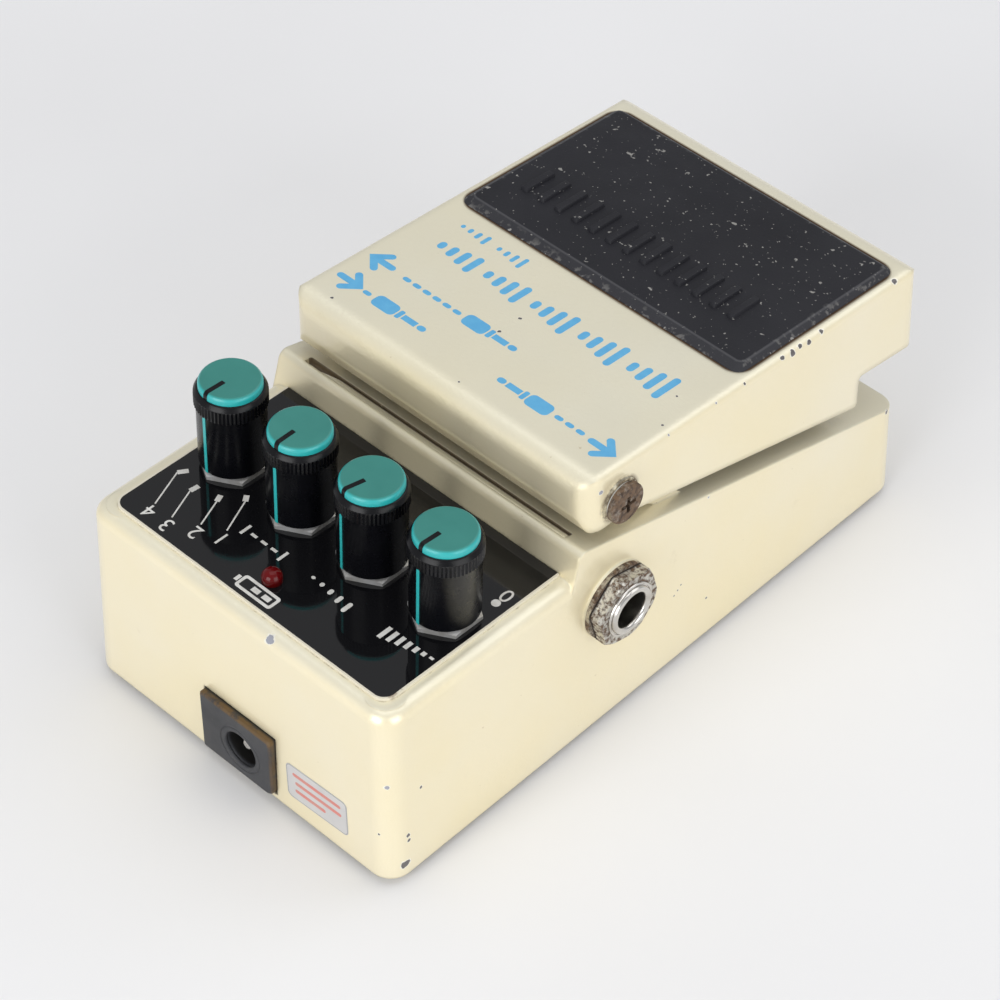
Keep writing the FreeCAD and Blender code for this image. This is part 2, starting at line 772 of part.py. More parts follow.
def make_treadle():
    outer = treadle_outer()
    cavity = side_prism(treadle_inner_profile(), -treadle_inner, treadle_inner)
    nose = side_prism(
        [(toe_y + 2.4, rim_z + 10, 0), (toe_y + 2.9, treadle_top_z(toe_y) - treadle_roof - 1.0, 2.0),
         (skirt_front_y, treadle_top_z(skirt_front_y) - treadle_roof, 1.0), (skirt_front_y, rim_z + 10, 0)],
        -treadle_inner, treadle_inner,
    )
    shell = outer.cut(Part.makeCompound([cavity, nose]))

    added = []
    # Post that presses the foot switch, and the boss above the return spring
    pusher_low = plunger_top_z() + pusher_gap
    roof = treadle_top_z(switch_y) - 1.0
    added.append(post(pusher_radius, switch_x, switch_y, pusher_low, roof))
    boss_low = spring_top_z() + spring_top_gap
    boss_roof = treadle_top_z(spring_y) - 1.0
    added.append(post(spring_radius + 1.5, 0, spring_y, boss_low, boss_roof))
    added.append(post(spring_radius - 2.5, 0, spring_y, boss_low - 2.4, boss_roof))
    # Two long ribs and one cross rib under the top
    for x in (-treadle_inner * 0.42, treadle_inner * 0.42):
        rib = side_prism(
            [(skirt_front_y + 1, treadle_top_z(skirt_front_y) - 6.5, 0),
             (pivot_y - 8, treadle_top_z(pivot_y) - 4.8, 0),
             (pivot_y + rear_reach - 1, treadle_top_z(pivot_y) - 3.4, 0),
             (pivot_y + rear_reach - 1, treadle_top_z(pivot_y) - 1.5, 0),
             (skirt_front_y + 1, treadle_top_z(skirt_front_y) - 1.5, 0)],
            x - 0.8, x + 0.8,
        )
        added.append(rib)
    # Boss for the locking screw's insert
    insert_boss = along_y(insert_boss_radius, skirt_front_y, skirt_front_y + insert_length, 0, lock_z)
    added.append(insert_boss)
    for side in (-1, 1):
        seat = along_x(pivot_boss_radius, treadle_inner, treadle_half_width + 0.02, pivot_y, pivot_z)
        added.append(seat if side > 0 else mirrored(seat))

    removed = [along_y(insert_radius, skirt_front_y - 1, skirt_front_y + insert_length + 1, 0, lock_z)]
    hole = along_x(pivot_bush_radius, treadle_inner - 2, treadle_half_width + 2, pivot_y, pivot_z)
    removed.append(hole)
    removed.append(mirrored(hole))
    removed.append(pad_block(0.02, 0, pad_thickness))
    return shell.multiFuse(added).cut(Part.makeCompound(removed)).removeSplitter()


# The pad's outline, grown by a margin, between two heights above its seat.
def pad_block(margin, low, high):
    half = treadle_half_width - pad_margin + margin
    y0 = toe_y + pad_front_margin - margin
    y1 = y0 + pad_length + 2 * margin
    plan = flat_prism(rectangle(-half, half, y0, y1, pad_corner_radius), rim_z + 20, rim_z + 80)
    seat = pad_thickness - pad_proud
    slab = side_prism(
        [(y0 - 5, treadle_top_z(y0 - 5) - seat + low, 0), (y1 + 5, treadle_top_z(y1 + 5) - seat + low, 0),
         (y1 + 5, treadle_top_z(y1 + 5) - seat + high, 0), (y0 - 5, treadle_top_z(y0 - 5) - seat + high, 0)],
        -body_width, body_width,
    )
    return plan.common(slab)


def make_foot_pad():
    pad = pad_block(0, 0, pad_thickness)
    top_edges = edges_where(pad, lambda p, e: p.z > treadle_top_z(p.y) + pad_proud - 0.05)
    return pad.makeChamfer(0.55, top_edges)


def make_pivot_bushes():
    x0 = treadle_inner + 0.05
    x1 = treadle_half_width + 0.02
    sleeve = along_x(pivot_bush_radius, x0, x1, pivot_y, pivot_z)
    flange = along_x(pivot_head_radius - 0.3, x1, x1 + pivot_flange_thickness, pivot_y, pivot_z)
    bore = along_x(pivot_shoulder_radius + running_gap, x0 - 1, x1 + 2, pivot_y, pivot_z)
    bush = sleeve.fuse(flange).cut(bore).removeSplitter()
    return Part.makeCompound([bush, mirrored(bush)])


def make_pivot_screws():
    head_x = treadle_half_width + 0.02 + pivot_flange_thickness + running_gap
    thread = along_x(pivot_screw_radius, ear_outer_x - ear_thickness, ear_outer_x, pivot_y, pivot_z)
    shoulder = along_x(pivot_shoulder_radius, ear_outer_x, head_x, pivot_y, pivot_z)
    head = along_x(pivot_head_radius, head_x, head_x + pivot_head_thickness, pivot_y, pivot_z)
    rim = edges_where(head, lambda p, e: p.x > head_x + pivot_head_thickness - 0.01 and e.Length > 5)
    head = head.makeFillet(0.45, rim)
    slots = [block(head_x + pivot_head_thickness - 0.9, head_x + 5, pivot_y - a, pivot_y + a, pivot_z - b,
                   pivot_z + b) for a, b in ((0.4, 1.7), (1.7, 0.4))]
    screw = thread.fuse([shoulder, head]).cut(slots[0].fuse(slots[1])).removeSplitter()
    return Part.makeCompound([screw, mirrored(screw)])


def make_lock_insert():
    y1 = skirt_front_y + insert_length
    ring = along_y(insert_radius, skirt_front_y, y1, 0, lock_z)
    return ring.cut(along_y(lock_stem_radius + running_gap, skirt_front_y - 1, y1 + 1, 0, lock_z))


# Locking screw, shown backed out by its full travel
def make_thumbscrew():
    head_back_y = skirt_front_y - 0.3 - lock_travel
    head_front_y = head_back_y - lock_head_length
    head = along_y(lock_head_radius, head_front_y, head_back_y, 0, lock_z)
    head = head.makeFillet(0.5, edges_where(head, lambda p, e: e.Length > 20))
    flutes = []
    for k in range(18):
        turn = 2 * math.pi * k / 18
        reach = lock_head_radius + 0.25
        flutes.append(along_y(0.6, head_front_y - 1, head_back_y + 1, reach * math.cos(turn),
                              lock_z + reach * math.sin(turn)))
    slot = block(-lock_head_radius, lock_head_radius, head_front_y - 1, head_front_y + 1.0,
                 lock_z - 0.6, lock_z + 0.6)
    tip_y = head_back_y + lock_stem_length
    stem = along_y(lock_stem_radius, head_back_y - 1, tip_y, 0, lock_z)
    stem = stem.makeChamfer(0.5, edges_where(stem, lambda p, e: p.y > tip_y - 0.01 and e.Length > 5))
    return head.cut(Part.makeCompound(flutes + [slot])).fuse(stem).removeSplitter()


def plunger_top_z():
    return deck_z(switch_y) + plunger_rise


def make_switch_body():
    y0 = switch_y - 6.0
    y1 = well_front_y - well_wall - 0.15
    low = deck_under_z(y0) - 8.0
    body = side_prism(
        [(y0, low, 0.8), (y1, low, 0.8), (y1, deck_under_z(y1), 0), (y0, deck_under_z(y0), 0)],
        switch_x - 6, switch_x + 6,
    )
    bore = post(plunger_radius + running_gap, switch_x, switch_y, low + 1.2, rim_z + pivot_height)
    legs = [post(0.4, switch_x + k * 3.5, switch_y, low - 3, low) for k in (-1, 1)]
    return body.cut(bore).fuse(legs).removeSplitter()


def make_switch_plunger():
    low = deck_under_z(switch_y - 6.0) - 8.0 + 1.2 + plunger_travel + 0.3
    stem = post(plunger_radius, switch_x, switch_y, low, plunger_top_z())
    top = edges_where(stem, lambda p, e: p.z > plunger_top_z() - 0.01 and e.Length > 5)
    return stem.makeFillet(0.6, top)


def spring_top_z():
    return treadle_top_z(spring_y) - treadle_roof - 2.6 - spring_top_gap


# The return spring's wire follows a rising turn, with close turns at both ends. Each quarter turn is a
# pair of arcs that leave and arrive along the true direction of the wire.
def spring_point(turns):
    end_turns = 1.25
    close_pitch = 2 * spring_wire_radius + 0.5
    free_height = spring_top_z() - rim_z - spring_seat_height - 2 * spring_wire_radius - 0.04
    open_turns = spring_turns - 2 * end_turns
    open_pitch = (free_height - 2 * end_turns * close_pitch) / open_turns
    lower = min(turns, end_turns)
    middle = min(max(turns - end_turns, 0), open_turns)
    upper = max(turns - end_turns - open_turns, 0)
    height = (lower + upper) * close_pitch + middle * open_pitch
    slope = open_pitch if end_turns < turns < end_turns + open_turns else close_pitch
    reach = spring_radius - spring_wire_radius
    angle = 2 * math.pi * turns
    base = rim_z + spring_seat_height + spring_wire_radius + 0.02
    point = V(reach * math.cos(angle), spring_y + reach * math.sin(angle), base + height)
    heading = V(-reach * math.sin(angle), reach * math.cos(angle), slope / (2 * math.pi)).normalize()
    return point, heading


def tangent_arc(start, heading, end):
    chord = end - start
    sideways = (chord - heading * chord.dot(heading)).normalize()
    radius = chord.dot(chord) / (2 * chord.dot(sideways))
    centre = start + sideways * radius
    middle = centre + ((start + end) * 0.5 - centre).normalize() * radius
    return Part.Arc(start, middle, end).toShape()


def make_return_spring():
    edges = []
    steps = spring_turns * 4
    for i in range(steps):
        start, start_heading = spring_point(i / 4)
        end, end_heading = spring_point((i + 1) / 4)
        chord = end - start
        both = start_heading + end_heading
        spread = 2 * (1 - start_heading.dot(end_heading))
        across = chord.dot(both)
        length = (math.sqrt(across * across + spread * chord.dot(chord)) - across) / spread
        joint = (start + end + (start_heading - end_heading) * length) * 0.5
        edges.append(tangent_arc(start, start_heading, joint))
        edges.append(tangent_arc(end, end_heading * -1, joint))
    wire = Part.Wire(Part.__sortEdges__(edges))
    first, heading = spring_point(0)
    ring = Part.Wire([Part.makeCircle(spring_wire_radius, first, heading)])
    return wire.makePipeShell([ring], True, False)


def print_spring_gap():
    per_turn = 48
    points = [spring_point(i / per_turn)[0] for i in range(spring_turns * per_turn + 1)]
    least = min(
        points[i].distanceToPoint(points[j])
        for i in range(len(points)) for j in range(i + per_turn // 2, len(points))
    )
    print("least gap between the spring's turns", round(least - 2 * spring_wire_radius, 3))


# Battery with its two studs, its snap and its two leads
def make_battery():
    x0 = -well_length / 2 + 0.5
    x1 = x0 + battery_length
    y0 = well_front_y + well_clearance
    cell = side_prism(
        rectangle(y0, y0 + battery_width, well_floor_z, well_floor_z + battery_height, 2.2), x0, x1
    )
    z = well_floor_z + battery_height / 2
    middle = y0 + battery_width / 2
    studs = [along_x(r, x1, x1 + 2.2, middle + k * 6.35, z) for k, r in ((-1, 2.9), (1, 2.6))]
    return cell.fuse(studs).removeSplitter()


def make_battery_snap():
    x0 = -well_length / 2 + 0.5 + battery_length + 0.2
    y0 = well_front_y + well_clearance
    middle = y0 + battery_width / 2
    z = well_floor_z + battery_height / 2
    cover = side_prism(
        rectangle(y0 + 1, y0 + battery_width - 1, well_floor_z + 1.5, well_floor_z + battery_height - 1.5,
                  4.0),
        x0, x0 + 3.6,
    )
    sockets = [along_x(3.05, x0 - 1, x0 + 2.4, middle + k * 6.35, z) for k in (-1, 1)]
    return cover.cut(Part.makeCompound(sockets))


def lead_route(offset):
    z = lead_z() + offset
    y0 = well_front_y + well_clearance + battery_width - 1
    x = lead_x()
    return [V(x, y0, z), V(x, y0 + 5, z), V(x - 1.6, y0 + 9.5, z), V(x - 1.6, y0 + 14, z)]


# A wire of straight runs joined by tangent arcs, each as large as its two runs allow
def wire_tube(points, radius):
    edges = []
    start = points[0]
    for before, here, after in zip(points, points[1:], points[2:]):
        back = (before - here).normalize()
        ahead = (after - here).normalize()
        half_turn = (math.pi - back.getAngle(ahead)) / 2
        reach = 0.45 * min(before.distanceToPoint(here), after.distanceToPoint(here))
        bend = reach / math.tan(half_turn)
        print("lead bend radius", round(bend, 1))
        enter = here + back * reach
        leave = here + ahead * reach
        inward = (back + ahead).normalize() * (bend / math.cos(half_turn) - bend)
        edges.append(Part.LineSegment(start, enter).toShape())
        edges.append(Part.Arc(enter, here + inward, leave).toShape())
        start = leave
    edges.append(Part.LineSegment(start, points[-1]).toShape())
    ring = Part.Wire([Part.makeCircle(radius, points[0], points[1] - points[0])])
    return Part.Wire(edges).makePipeShell([ring], True, False)


def make_battery_leads():
    return Part.makeCompound([wire_tube(lead_route(offset), 0.7) for offset in (-1.5, 1.5)])


# Jacks are built along +X from the pedal's middle plane and turned to their side.
def to_side(shape, side, y):
    placed = shape.copy()
    if side < 0:
        placed.rotate(origin, up, 180)
    placed.translate(V(0, y, jack_z))
    return placed


def make_jack_body(side, y):
    x1 = jack_inner_x()
    x0 = x1 - jack_body_length
    body = side_prism(polygon(8, jack_body_width), x0, x1)
    bore = along_x(jack_sleeve_radius, x1 - 2.2, x1 + 1, 0, 0)
    deep = along_x(jack_bore_radius + 0.3, x0 + 1.5, x1, 0, 0)
    legs = [block(x0 + 3 + 5 * k, x0 + 3.8 + 5 * k, -2, 2, -jack_body_width / 2 - 1.2, -jack_body_width / 2)
            for k in range(3)]
    return to_side(body.cut(bore.fuse(deep)).fuse(legs).removeSplitter(), side, y)


def make_jack_sleeve(side, y):
    x0 = jack_inner_x() - 2.2
    x1 = jack_seat_x() + jack_reach
    tube = along_x(jack_sleeve_radius, x0, x1, 0, 0)
    tip = edges_where(tube, lambda p, e: p.x > x1 - 0.01 and e.Length > 5)
    tube = tube.makeChamfer(0.35, tip).cut(along_x(jack_bore_radius, x0 - 1, x1 + 1, 0, 0))
    return to_side(tube, side, y)


def make_jack_washer(side, y):
    x0 = jack_seat_x()
    ring = along_x(jack_washer_radius, x0, x0 + jack_washer_thickness, 0, 0)
    return to_side(ring.cut(along_x(jack_sleeve_radius, x0 - 1, x0 + 2, 0, 0)), side, y)


def make_jack_nut(side, y, turn):
    x0 = jack_seat_x() + jack_washer_thickness
    x1 = x0 + jack_nut_thickness
    nut = side_prism(polygon(6, jack_nut_width, turn=turn), x0, x1)
    trim = along_x(jack_nut_width * 0.568, x0, x1, 0, 0)
    outer_rim = edges_where(trim, lambda p, e: p.x > x1 - 0.01 and e.Length > 5)
    trim = trim.makeChamfer(0.6, outer_rim)
    return to_side(nut.common(trim).cut(along_x(jack_sleeve_radius, x0 - 1, x1 + 1, 0, 0)), side, y)


# The tip contact: a strip bent into the jack's bore from its closed end
def make_jack_spring(side, y):
    x0 = jack_inner_x() - jack_body_length + 1.5
    low = -jack_bore_radius - 0.3
    strip = front_prism(
        [(x0, low + 0.6, 0), (x0 + 7, low + 0.6, 0.5), (x0 + 9, low + 1.9, 0.5), (x0 + 11, low + 0.9, 0),
         (x0 + 11, low + 1.3, 0), (x0 + 9, low + 2.3, 0.5), (x0 + 7, low + 1.0, 0.5), (x0, low + 1.0, 0)],
        -1.0, 1.0,
    )
    return to_side(strip, side, y)


# Power socket with a bezel that stands proud of the rear face
def make_power_socket():
    y1 = rear_y + socket_proud
    y0 = y1 - bezel_depth
    z0 = rim_z + socket_low
    z1 = rim_z + socket_height
    bezel = front_prism(
        [(socket_left, z0, socket_corner_radius), (socket_right, z0, 0.6), (socket_right, z1, 0.6),
         (socket_left, z1, 0.6)],
        y0, y1,
    )
    mouth = edges_where(bezel, lambda p, e: p.y > y1 - 0.01)
    bezel = bezel.makeChamfer(0.3, mouth)
    body = front_prism(
        rectangle(socket_x - socket_body_half, socket_x + socket_body_half, plate_top_z + 0.5,
                  rim_z + socket_height - 1.2, 0.5),
        y1 - socket_depth, y0,
    )
    hole_z = rim_z + socket_hole_height
    bore = along_y(socket_hole_radius, y1 - socket_depth + 1.6, y1 + 1, socket_x, hole_z)
    lip = along_y(socket_hole_radius + 1.1, y1 - 0.5, y1 + 1, socket_x, hole_z)
    return bezel.fuse(body).cut(bore.fuse(lip)).removeSplitter()


def make_power_pin():
    y1 = rear_y + socket_proud
    hole_z = rim_z + socket_hole_height
    pin = along_y(socket_pin_radius, y1 - socket_depth + 1.6, y1 - 1.4, socket_x, hole_z)
    return pin.makeFillet(0.4, edges_where(pin, lambda p, e: p.y > y1 - 1.41 and e.Length > 3))


# Boards: the control board under the pots, the main board on standoffs from the bottom plate
def make_control_board():
    top = pot_top() - pot_depth
    half = 1.5 * knob_pitch + pot_width / 2
    tongue = panel_rear_y - knob_row_y - 3.0
    plan = flat_prism(
        [(-half, -10, 1.0), (half, -10, 1.0), (half, 10, 1.0), (9, 10, 0), (9, tongue, 1.0),
         (-9, tongue, 1.0), (-9, 10, 0), (-half, 10, 1.0)],
        top - board_thickness, top,
    )
    return at_panel(plan, 0, knob_row_y)


def standoff_places():
    x = main_board_width / 2 - board_corner
    y0 = board_front_y + board_corner
    y1 = board_rear_y - board_corner
    return [(-x / 2, y0), (x / 2, y0), (-x, y1), (x, y1)]


def make_main_board():
    z0 = rim_z + main_board_height
    half = main_board_width / 2
    y0 = board_front_y
    board = flat_prism(rectangle(-half, half, y0, y0 + main_board_length, 1.5), z0, z0 + board_thickness)
    holes = [post(screw_hole_radius, x, y, z0 - 1, z0 + 5) for x, y in standoff_places()]
    return board.cut(Part.makeCompound(holes))


def make_standoffs():
    z1 = rim_z + main_board_height
    legs = []
    for x, y in standoff_places():
        leg = flat_prism(polygon(6, 2 * standoff_radius, x, y), plate_top_z, z1)
        legs.append(leg.cut(post(screw_hole_radius, x, y, plate_top_z + 3, z1 + 1)))
    return Part.makeCompound(legs)


def make_board_screws():
    z = rim_z + main_board_height + board_thickness
    screws = []
    for x, y in standoff_places():
        head = post(2.3, x, y, z, z + 1.5)
        shank = post(screw_hole_radius, x, y, z - board_thickness - 5, z)
        screws.append(head.fuse(shank).removeSplitter())
    return Part.makeCompound(screws)


def make_insulating_sheet():
    half = main_board_width / 2
    y0 = board_front_y
    sheet = flat_prism(
        rectangle(-half, half, y0, y0 + main_board_length, 0.5), plate_top_z, plate_top_z + 0.4
    )
    places = standoff_places()
    holes = [post(standoff_radius + 0.7, x, y, plate_top_z - 1, plate_top_z + 2) for x, y in places]
    return sheet.cut(Part.makeCompound(holes))


def make_board_parts():
    z = rim_z + main_board_height + board_thickness
    y0 = board_front_y
    parts = []
    length = main_board_length
    pitch = main_board_width / 5
    # Four long chips in a row across the board, then three memory chips
    for k in (-1.5, -0.5, 0.5, 1.5):
        x = pitch * k
        parts.append(block(x - 3.2, x + 3.2, y0 + length * 0.2, y0 + length * 0.52, z, z + chip_height))
    for k in (-1, 0, 1):
        x = pitch * 1.4 * k
        parts.append(block(x - 5, x + 5, y0 + length * 0.6, y0 + length * 0.71, z, z + chip_height))
    # Upright capacitors along the rear edge
    for k in range(6):
        x = (k - 2.5) * pitch * 0.6
        can = post(2.5, x, y0 + length * 0.83, z, z + chip_height + 1)
        rim = edges_where(can, lambda p, e: p.z > z + chip_height + 0.9 and e.Length > 5)
        parts.append(can.makeFillet(0.4, rim))
    return Part.makeCompound(parts)


def make_lead_connector():
    z = rim_z + main_board_height
    end = lead_route(0)[-1]
    return block(end.x - 3, end.x + 3, end.y, end.y + 4, end.z - 3, z)


def build():
    os.makedirs("parts", exist_ok=True)
    save("housing", make_housing())
    save("guide_bush", make_guide_bush())
    save("bottom_plate", make_bottom_plate())
    save("rubber_base", make_rubber_base())
    save("bottom_screws", make_bottom_screws())
    save("control_panel", make_control_panel())
    save("check_lamp", make_lamp())

    controls = ("mode", "time", "feedback", "level")
    turns = (-2.3, 0.9, -12.7, -3.4)
    for name, x, turn in zip(controls, knob_places(), turns):
        kind = "_switch_body" if name == "mode" else "_pot_body"
        save(name + kind, make_pot(x))
        shaft = make_shaft()
        pieces = (("shaft", shaft), ("knob", make_knob_body(shaft)), ("knob_cap", make_knob_cap()))
        for piece, shape in pieces:
            turned_piece = shape.copy()
            turned_piece.rotate(origin, up, turn)
            save(name + "_" + piece, at_panel(turned_piece, x, knob_row_y))
    save("control_nuts", Part.makeCompound([make_pot_nut(x) for x in knob_places()]))
    save("control_washers", Part.makeCompound([make_pot_washer(x) for x in knob_places()]))

    jacks = ("output", "input", "direct")
    for name, (side, y) in zip(jacks, jack_places()):
        save(name + "_jack_body", make_jack_body(side, y))
        save(name + "_jack_sleeve", make_jack_sleeve(side, y))
    nut_turns = (0.26, 0.1, 0.4)
    nuts = [make_jack_nut(side, y, turn) for (side, y), turn in zip(jack_places(), nut_turns)]
    save("jack_nuts", Part.makeCompound(nuts))
    save("jack_washers", Part.makeCompound([make_jack_washer(side, y) for side, y in jack_places()]))
    save("jack_tip_springs", Part.makeCompound([make_jack_spring(side, y) for side, y in jack_places()]))
    save("power_socket", make_power_socket())
    save("power_socket_pin", make_power_pin())

    save("control_board", make_control_board())
    save("main_board", make_main_board())
    save("board_standoffs", make_standoffs())
    save("board_screws", make_board_screws())
    save("board_parts", make_board_parts())
    save("insulating_sheet", make_insulating_sheet())
    save("lead_connector", make_lead_connector())
    save("battery", make_battery())
    save("battery_snap", make_battery_snap())
    save("battery_leads", make_battery_leads())

    save("treadle", make_treadle())
    save("foot_pad", make_foot_pad())
    save("pivot_bushes", make_pivot_bushes())
    save("pivot_screws", make_pivot_screws())
    save("lock_insert", make_lock_insert())
    save("thumbscrew", make_thumbscrew())
    save("foot_switch_body", make_switch_body())
    save("switch_plunger", make_switch_plunger())
    save("return_spring", make_return_spring())
    print_spring_gap()


build()
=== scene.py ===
import math
import bpy
import bmesh
from mathutils import Matrix, Quaternion, Vector


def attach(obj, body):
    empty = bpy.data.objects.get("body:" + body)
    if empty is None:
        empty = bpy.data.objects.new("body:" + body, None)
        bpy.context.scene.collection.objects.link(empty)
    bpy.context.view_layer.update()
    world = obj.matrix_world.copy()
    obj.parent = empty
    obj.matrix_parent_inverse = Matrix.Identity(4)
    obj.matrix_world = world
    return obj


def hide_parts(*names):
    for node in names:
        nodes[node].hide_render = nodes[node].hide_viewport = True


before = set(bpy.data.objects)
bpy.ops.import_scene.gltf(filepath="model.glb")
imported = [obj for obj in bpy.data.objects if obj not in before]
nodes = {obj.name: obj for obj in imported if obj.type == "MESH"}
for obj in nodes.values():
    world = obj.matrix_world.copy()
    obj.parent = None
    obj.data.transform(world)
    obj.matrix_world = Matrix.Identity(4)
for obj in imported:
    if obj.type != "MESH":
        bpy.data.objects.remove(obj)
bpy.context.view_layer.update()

mm = 0.001
scene = bpy.context.scene
bpy.ops.object.select_all(action="DESELECT")

# camera at the photograph's viewing angle
camera = {"place": (-0.27384, 0.28802, 0.42282), "target": (0, 0.001365, 0.018963), "roll": 0.034,
          "lens": 120.09}


def makeCamera():
    bpy.ops.object.camera_add(location=camera["place"])
    eye = bpy.context.object
    eye.name = "photoCamera"
    look = (Vector(camera["target"]) - Vector(camera["place"])).to_track_quat("-Z", "Y")
    eye.rotation_euler = (look @ Quaternion((0, 0, 1), math.radians(camera["roll"]))).to_euler()
    eye.data.lens = camera["lens"]
    eye.data.sensor_width = 36
    eye.data.clip_start = 0.01
    scene.camera = eye


studio = {
    "floorSize": 4.0,
    "sky": (0.53, 0.535, 0.545, 1),
    "skyStrength": 1.0,
    "lamps": [
        {"name": "softboxLeft", "place": (-1.25, 0.1, 0.45), "size": 0.9, "power": 6.2},
        {"name": "softboxRear", "place": (-0.1, 1.2, 0.45), "size": 0.8, "power": 8.0},
        {"name": "softboxToe", "place": (-0.35, -0.95, 1.1), "size": 0.9, "power": 3.0},
        {"name": "softboxAbove", "place": (0.15, -0.15, 1.6), "size": 1.2, "power": 4.4},
    ],
}


def makeStudio():
    bpy.ops.mesh.primitive_plane_add(size=studio["floorSize"])
    floor = bpy.context.object
    floor.name = "studioFloor"
    floor.data.materials.append(floorMaterial())
    for lamp in studio["lamps"]:
        bpy.ops.object.light_add(type="AREA", location=lamp["place"])
        made = bpy.context.object
        made.name = lamp["name"]
        made.data.size = lamp["size"]
        made.data.energy = lamp["power"]
        made.rotation_euler = (-Vector(lamp["place"])).to_track_quat("-Z", "Y").to_euler()
    world = bpy.data.worlds.new("paleRoom")
    world.use_nodes = True
    sky = world.node_tree.nodes["Background"]
    sky.inputs["Color"].default_value = studio["sky"]
    sky.inputs["Strength"].default_value = studio["skyStrength"]
    scene.world = world
    scene.view_settings.view_transform = "Standard"


# node helpers: a value is either a number or another node's output
def addNode(tree, kind, values=None, **settings):
    node = tree.nodes.new(kind)
    for key, value in settings.items():
        setattr(node, key, value)
    for key, value in (values or {}).items():
        if isinstance(value, bpy.types.NodeSocket):
            tree.links.new(value, node.inputs[key])
        else:
            node.inputs[key].default_value = value
    return node


def maths(tree, operation, a, b=0.0):
    return addNode(tree, "ShaderNodeMath", {0: a, 1: b}, operation=operation).outputs[0]


def times(tree, a, b):
    return maths(tree, "MULTIPLY", a, b)


def most(tree, a, b):
    return maths(tree, "MAXIMUM", a, b)


def axes(tree, vector):
    return addNode(tree, "ShaderNodeSeparateXYZ", {0: vector}).outputs


def vectorMaths(tree, operation, a, b=(0, 0, 0), output="Vector"):
    return addNode(tree, "ShaderNodeVectorMath", {0: a, 1: b}, operation=operation).outputs[output]


def noise(tree, where, scale, detail=3.0, rough=0.5):
    values = {"Vector": where, "Scale": scale, "Detail": detail, "Roughness": rough}
    return addNode(tree, "ShaderNodeTexNoise", values).outputs[0]


def step(tree, value, start, end, low=0.0, high=1.0):
    values = {"Value": value, "From Min": start, "From Max": end, "To Min": low, "To Max": high}
    return addNode(tree, "ShaderNodeMapRange", values).outputs["Result"]


# noise brought to a span: its scale, detail and roughness, then what step takes
def patches(tree, where, grain, *span):
    return step(tree, noise(tree, where, *grain), *span)


# the tones are red, green and blue, or another node's output
def blendTones(tree, share, first, second):
    node = tree.nodes.new("ShaderNodeMix")
    node.data_type = "RGBA"
    for index, value in ((0, share), (6, first), (7, second)):
        if isinstance(value, bpy.types.NodeSocket):
            tree.links.new(value, node.inputs[index])
        else:
            node.inputs[index].default_value = (*value, 1) if index else value
    return node.outputs[2]


def bump(tree, height, distance, strength=1.0, under=None):
    values = {"Height": height, "Distance": distance, "Strength": strength}
    if under:
        values["Normal"] = under
    return addNode(tree, "ShaderNodeBump", values).outputs["Normal"]


def startMaterial(name, **sockets):
    made = bpy.data.materials.new(name)
    made.use_nodes = True
    tree = made.node_tree
    shader = tree.nodes["Principled BSDF"]
    for key, value in sockets.items():
        shader.inputs[key.replace("_", " ")].default_value = value
    where = addNode(tree, "ShaderNodeTexCoord").outputs["Object"]
    return made, tree, shader, where


def feed(tree, shader, **sockets):
    for key, value in sockets.items():
        tree.links.new(value, shader.inputs[key.replace("_", " ")])


# signed distance, in metres, from a rounded rectangle seen along one axis
def roundedEdge(tree, where, centre, half, radius, blank="Z"):
    flat = [1, 1, 1]
    flat["XYZ".index(blank)] = 0
    local = vectorMaths(tree, "SUBTRACT", where, centre)
    local = vectorMaths(tree, "MULTIPLY", local, flat)
    local = vectorMaths(tree, "ABSOLUTE", local)
    inner = [h - radius if f else 0 for h, f in zip(half, flat)]
    past = vectorMaths(tree, "SUBTRACT", local, inner)
    outside = vectorMaths(tree, "LENGTH", vectorMaths(tree, "MAXIMUM", past, (0, 0, 0)), output="Value")
    parts = axes(tree, past)
    kept = [parts[i] for i in range(3) if flat[i]]
    inside = maths(tree, "MINIMUM", most(tree, kept[0], kept[1]), 0.0)
    return maths(tree, "SUBTRACT", maths(tree, "ADD", outside, inside), radius)


# ragged distance to the nearest chip, in chip radii; places are (x, y, z, radius) in millimetres
def chipField(tree, where, places):
    nearest = None
    for x, y, z, radius in places:
        away = vectorMaths(tree, "DISTANCE", where, (x * mm, y * mm, z * mm), "Value")
        away = maths(tree, "DIVIDE", away, radius * mm)
        nearest = away if nearest is None else maths(tree, "MINIMUM", nearest, away)
    ragged = times(tree, maths(tree, "SUBTRACT", noise(tree, where, 1400, 4), 0.5), 1.9)
    return maths(tree, "ADD", nearest, ragged)


print("helpers ready")

paint = {
    # side and top are one paint as lit from the side and from above: painted light and shade, chosen by which
    # way a face looks
    "side": ((0.86, 0.765, 0.515), (0.86, 0.785, 0.585)),
    "top": ((0.83, 0.775, 0.59), (0.83, 0.79, 0.635)),
    "stain": (0.52, 0.42, 0.24),
    "bare": (0.12, 0.11, 0.11),
    "primer": (0.36, 0.37, 0.42),
    "rim": (0.93, 0.90, 0.80),
    # the dirt tone, also used for the painted shade in the gutter
    "dirtAndShade": (0.09, 0.046, 0.016),
    "roughness": 0.34,
    "metallic": 0.35,
    "coat": 0.6,
    "coatRoughness": 0.12,
    "flakeScale": 1500,
    "flakeDepth": 0.00004,
}


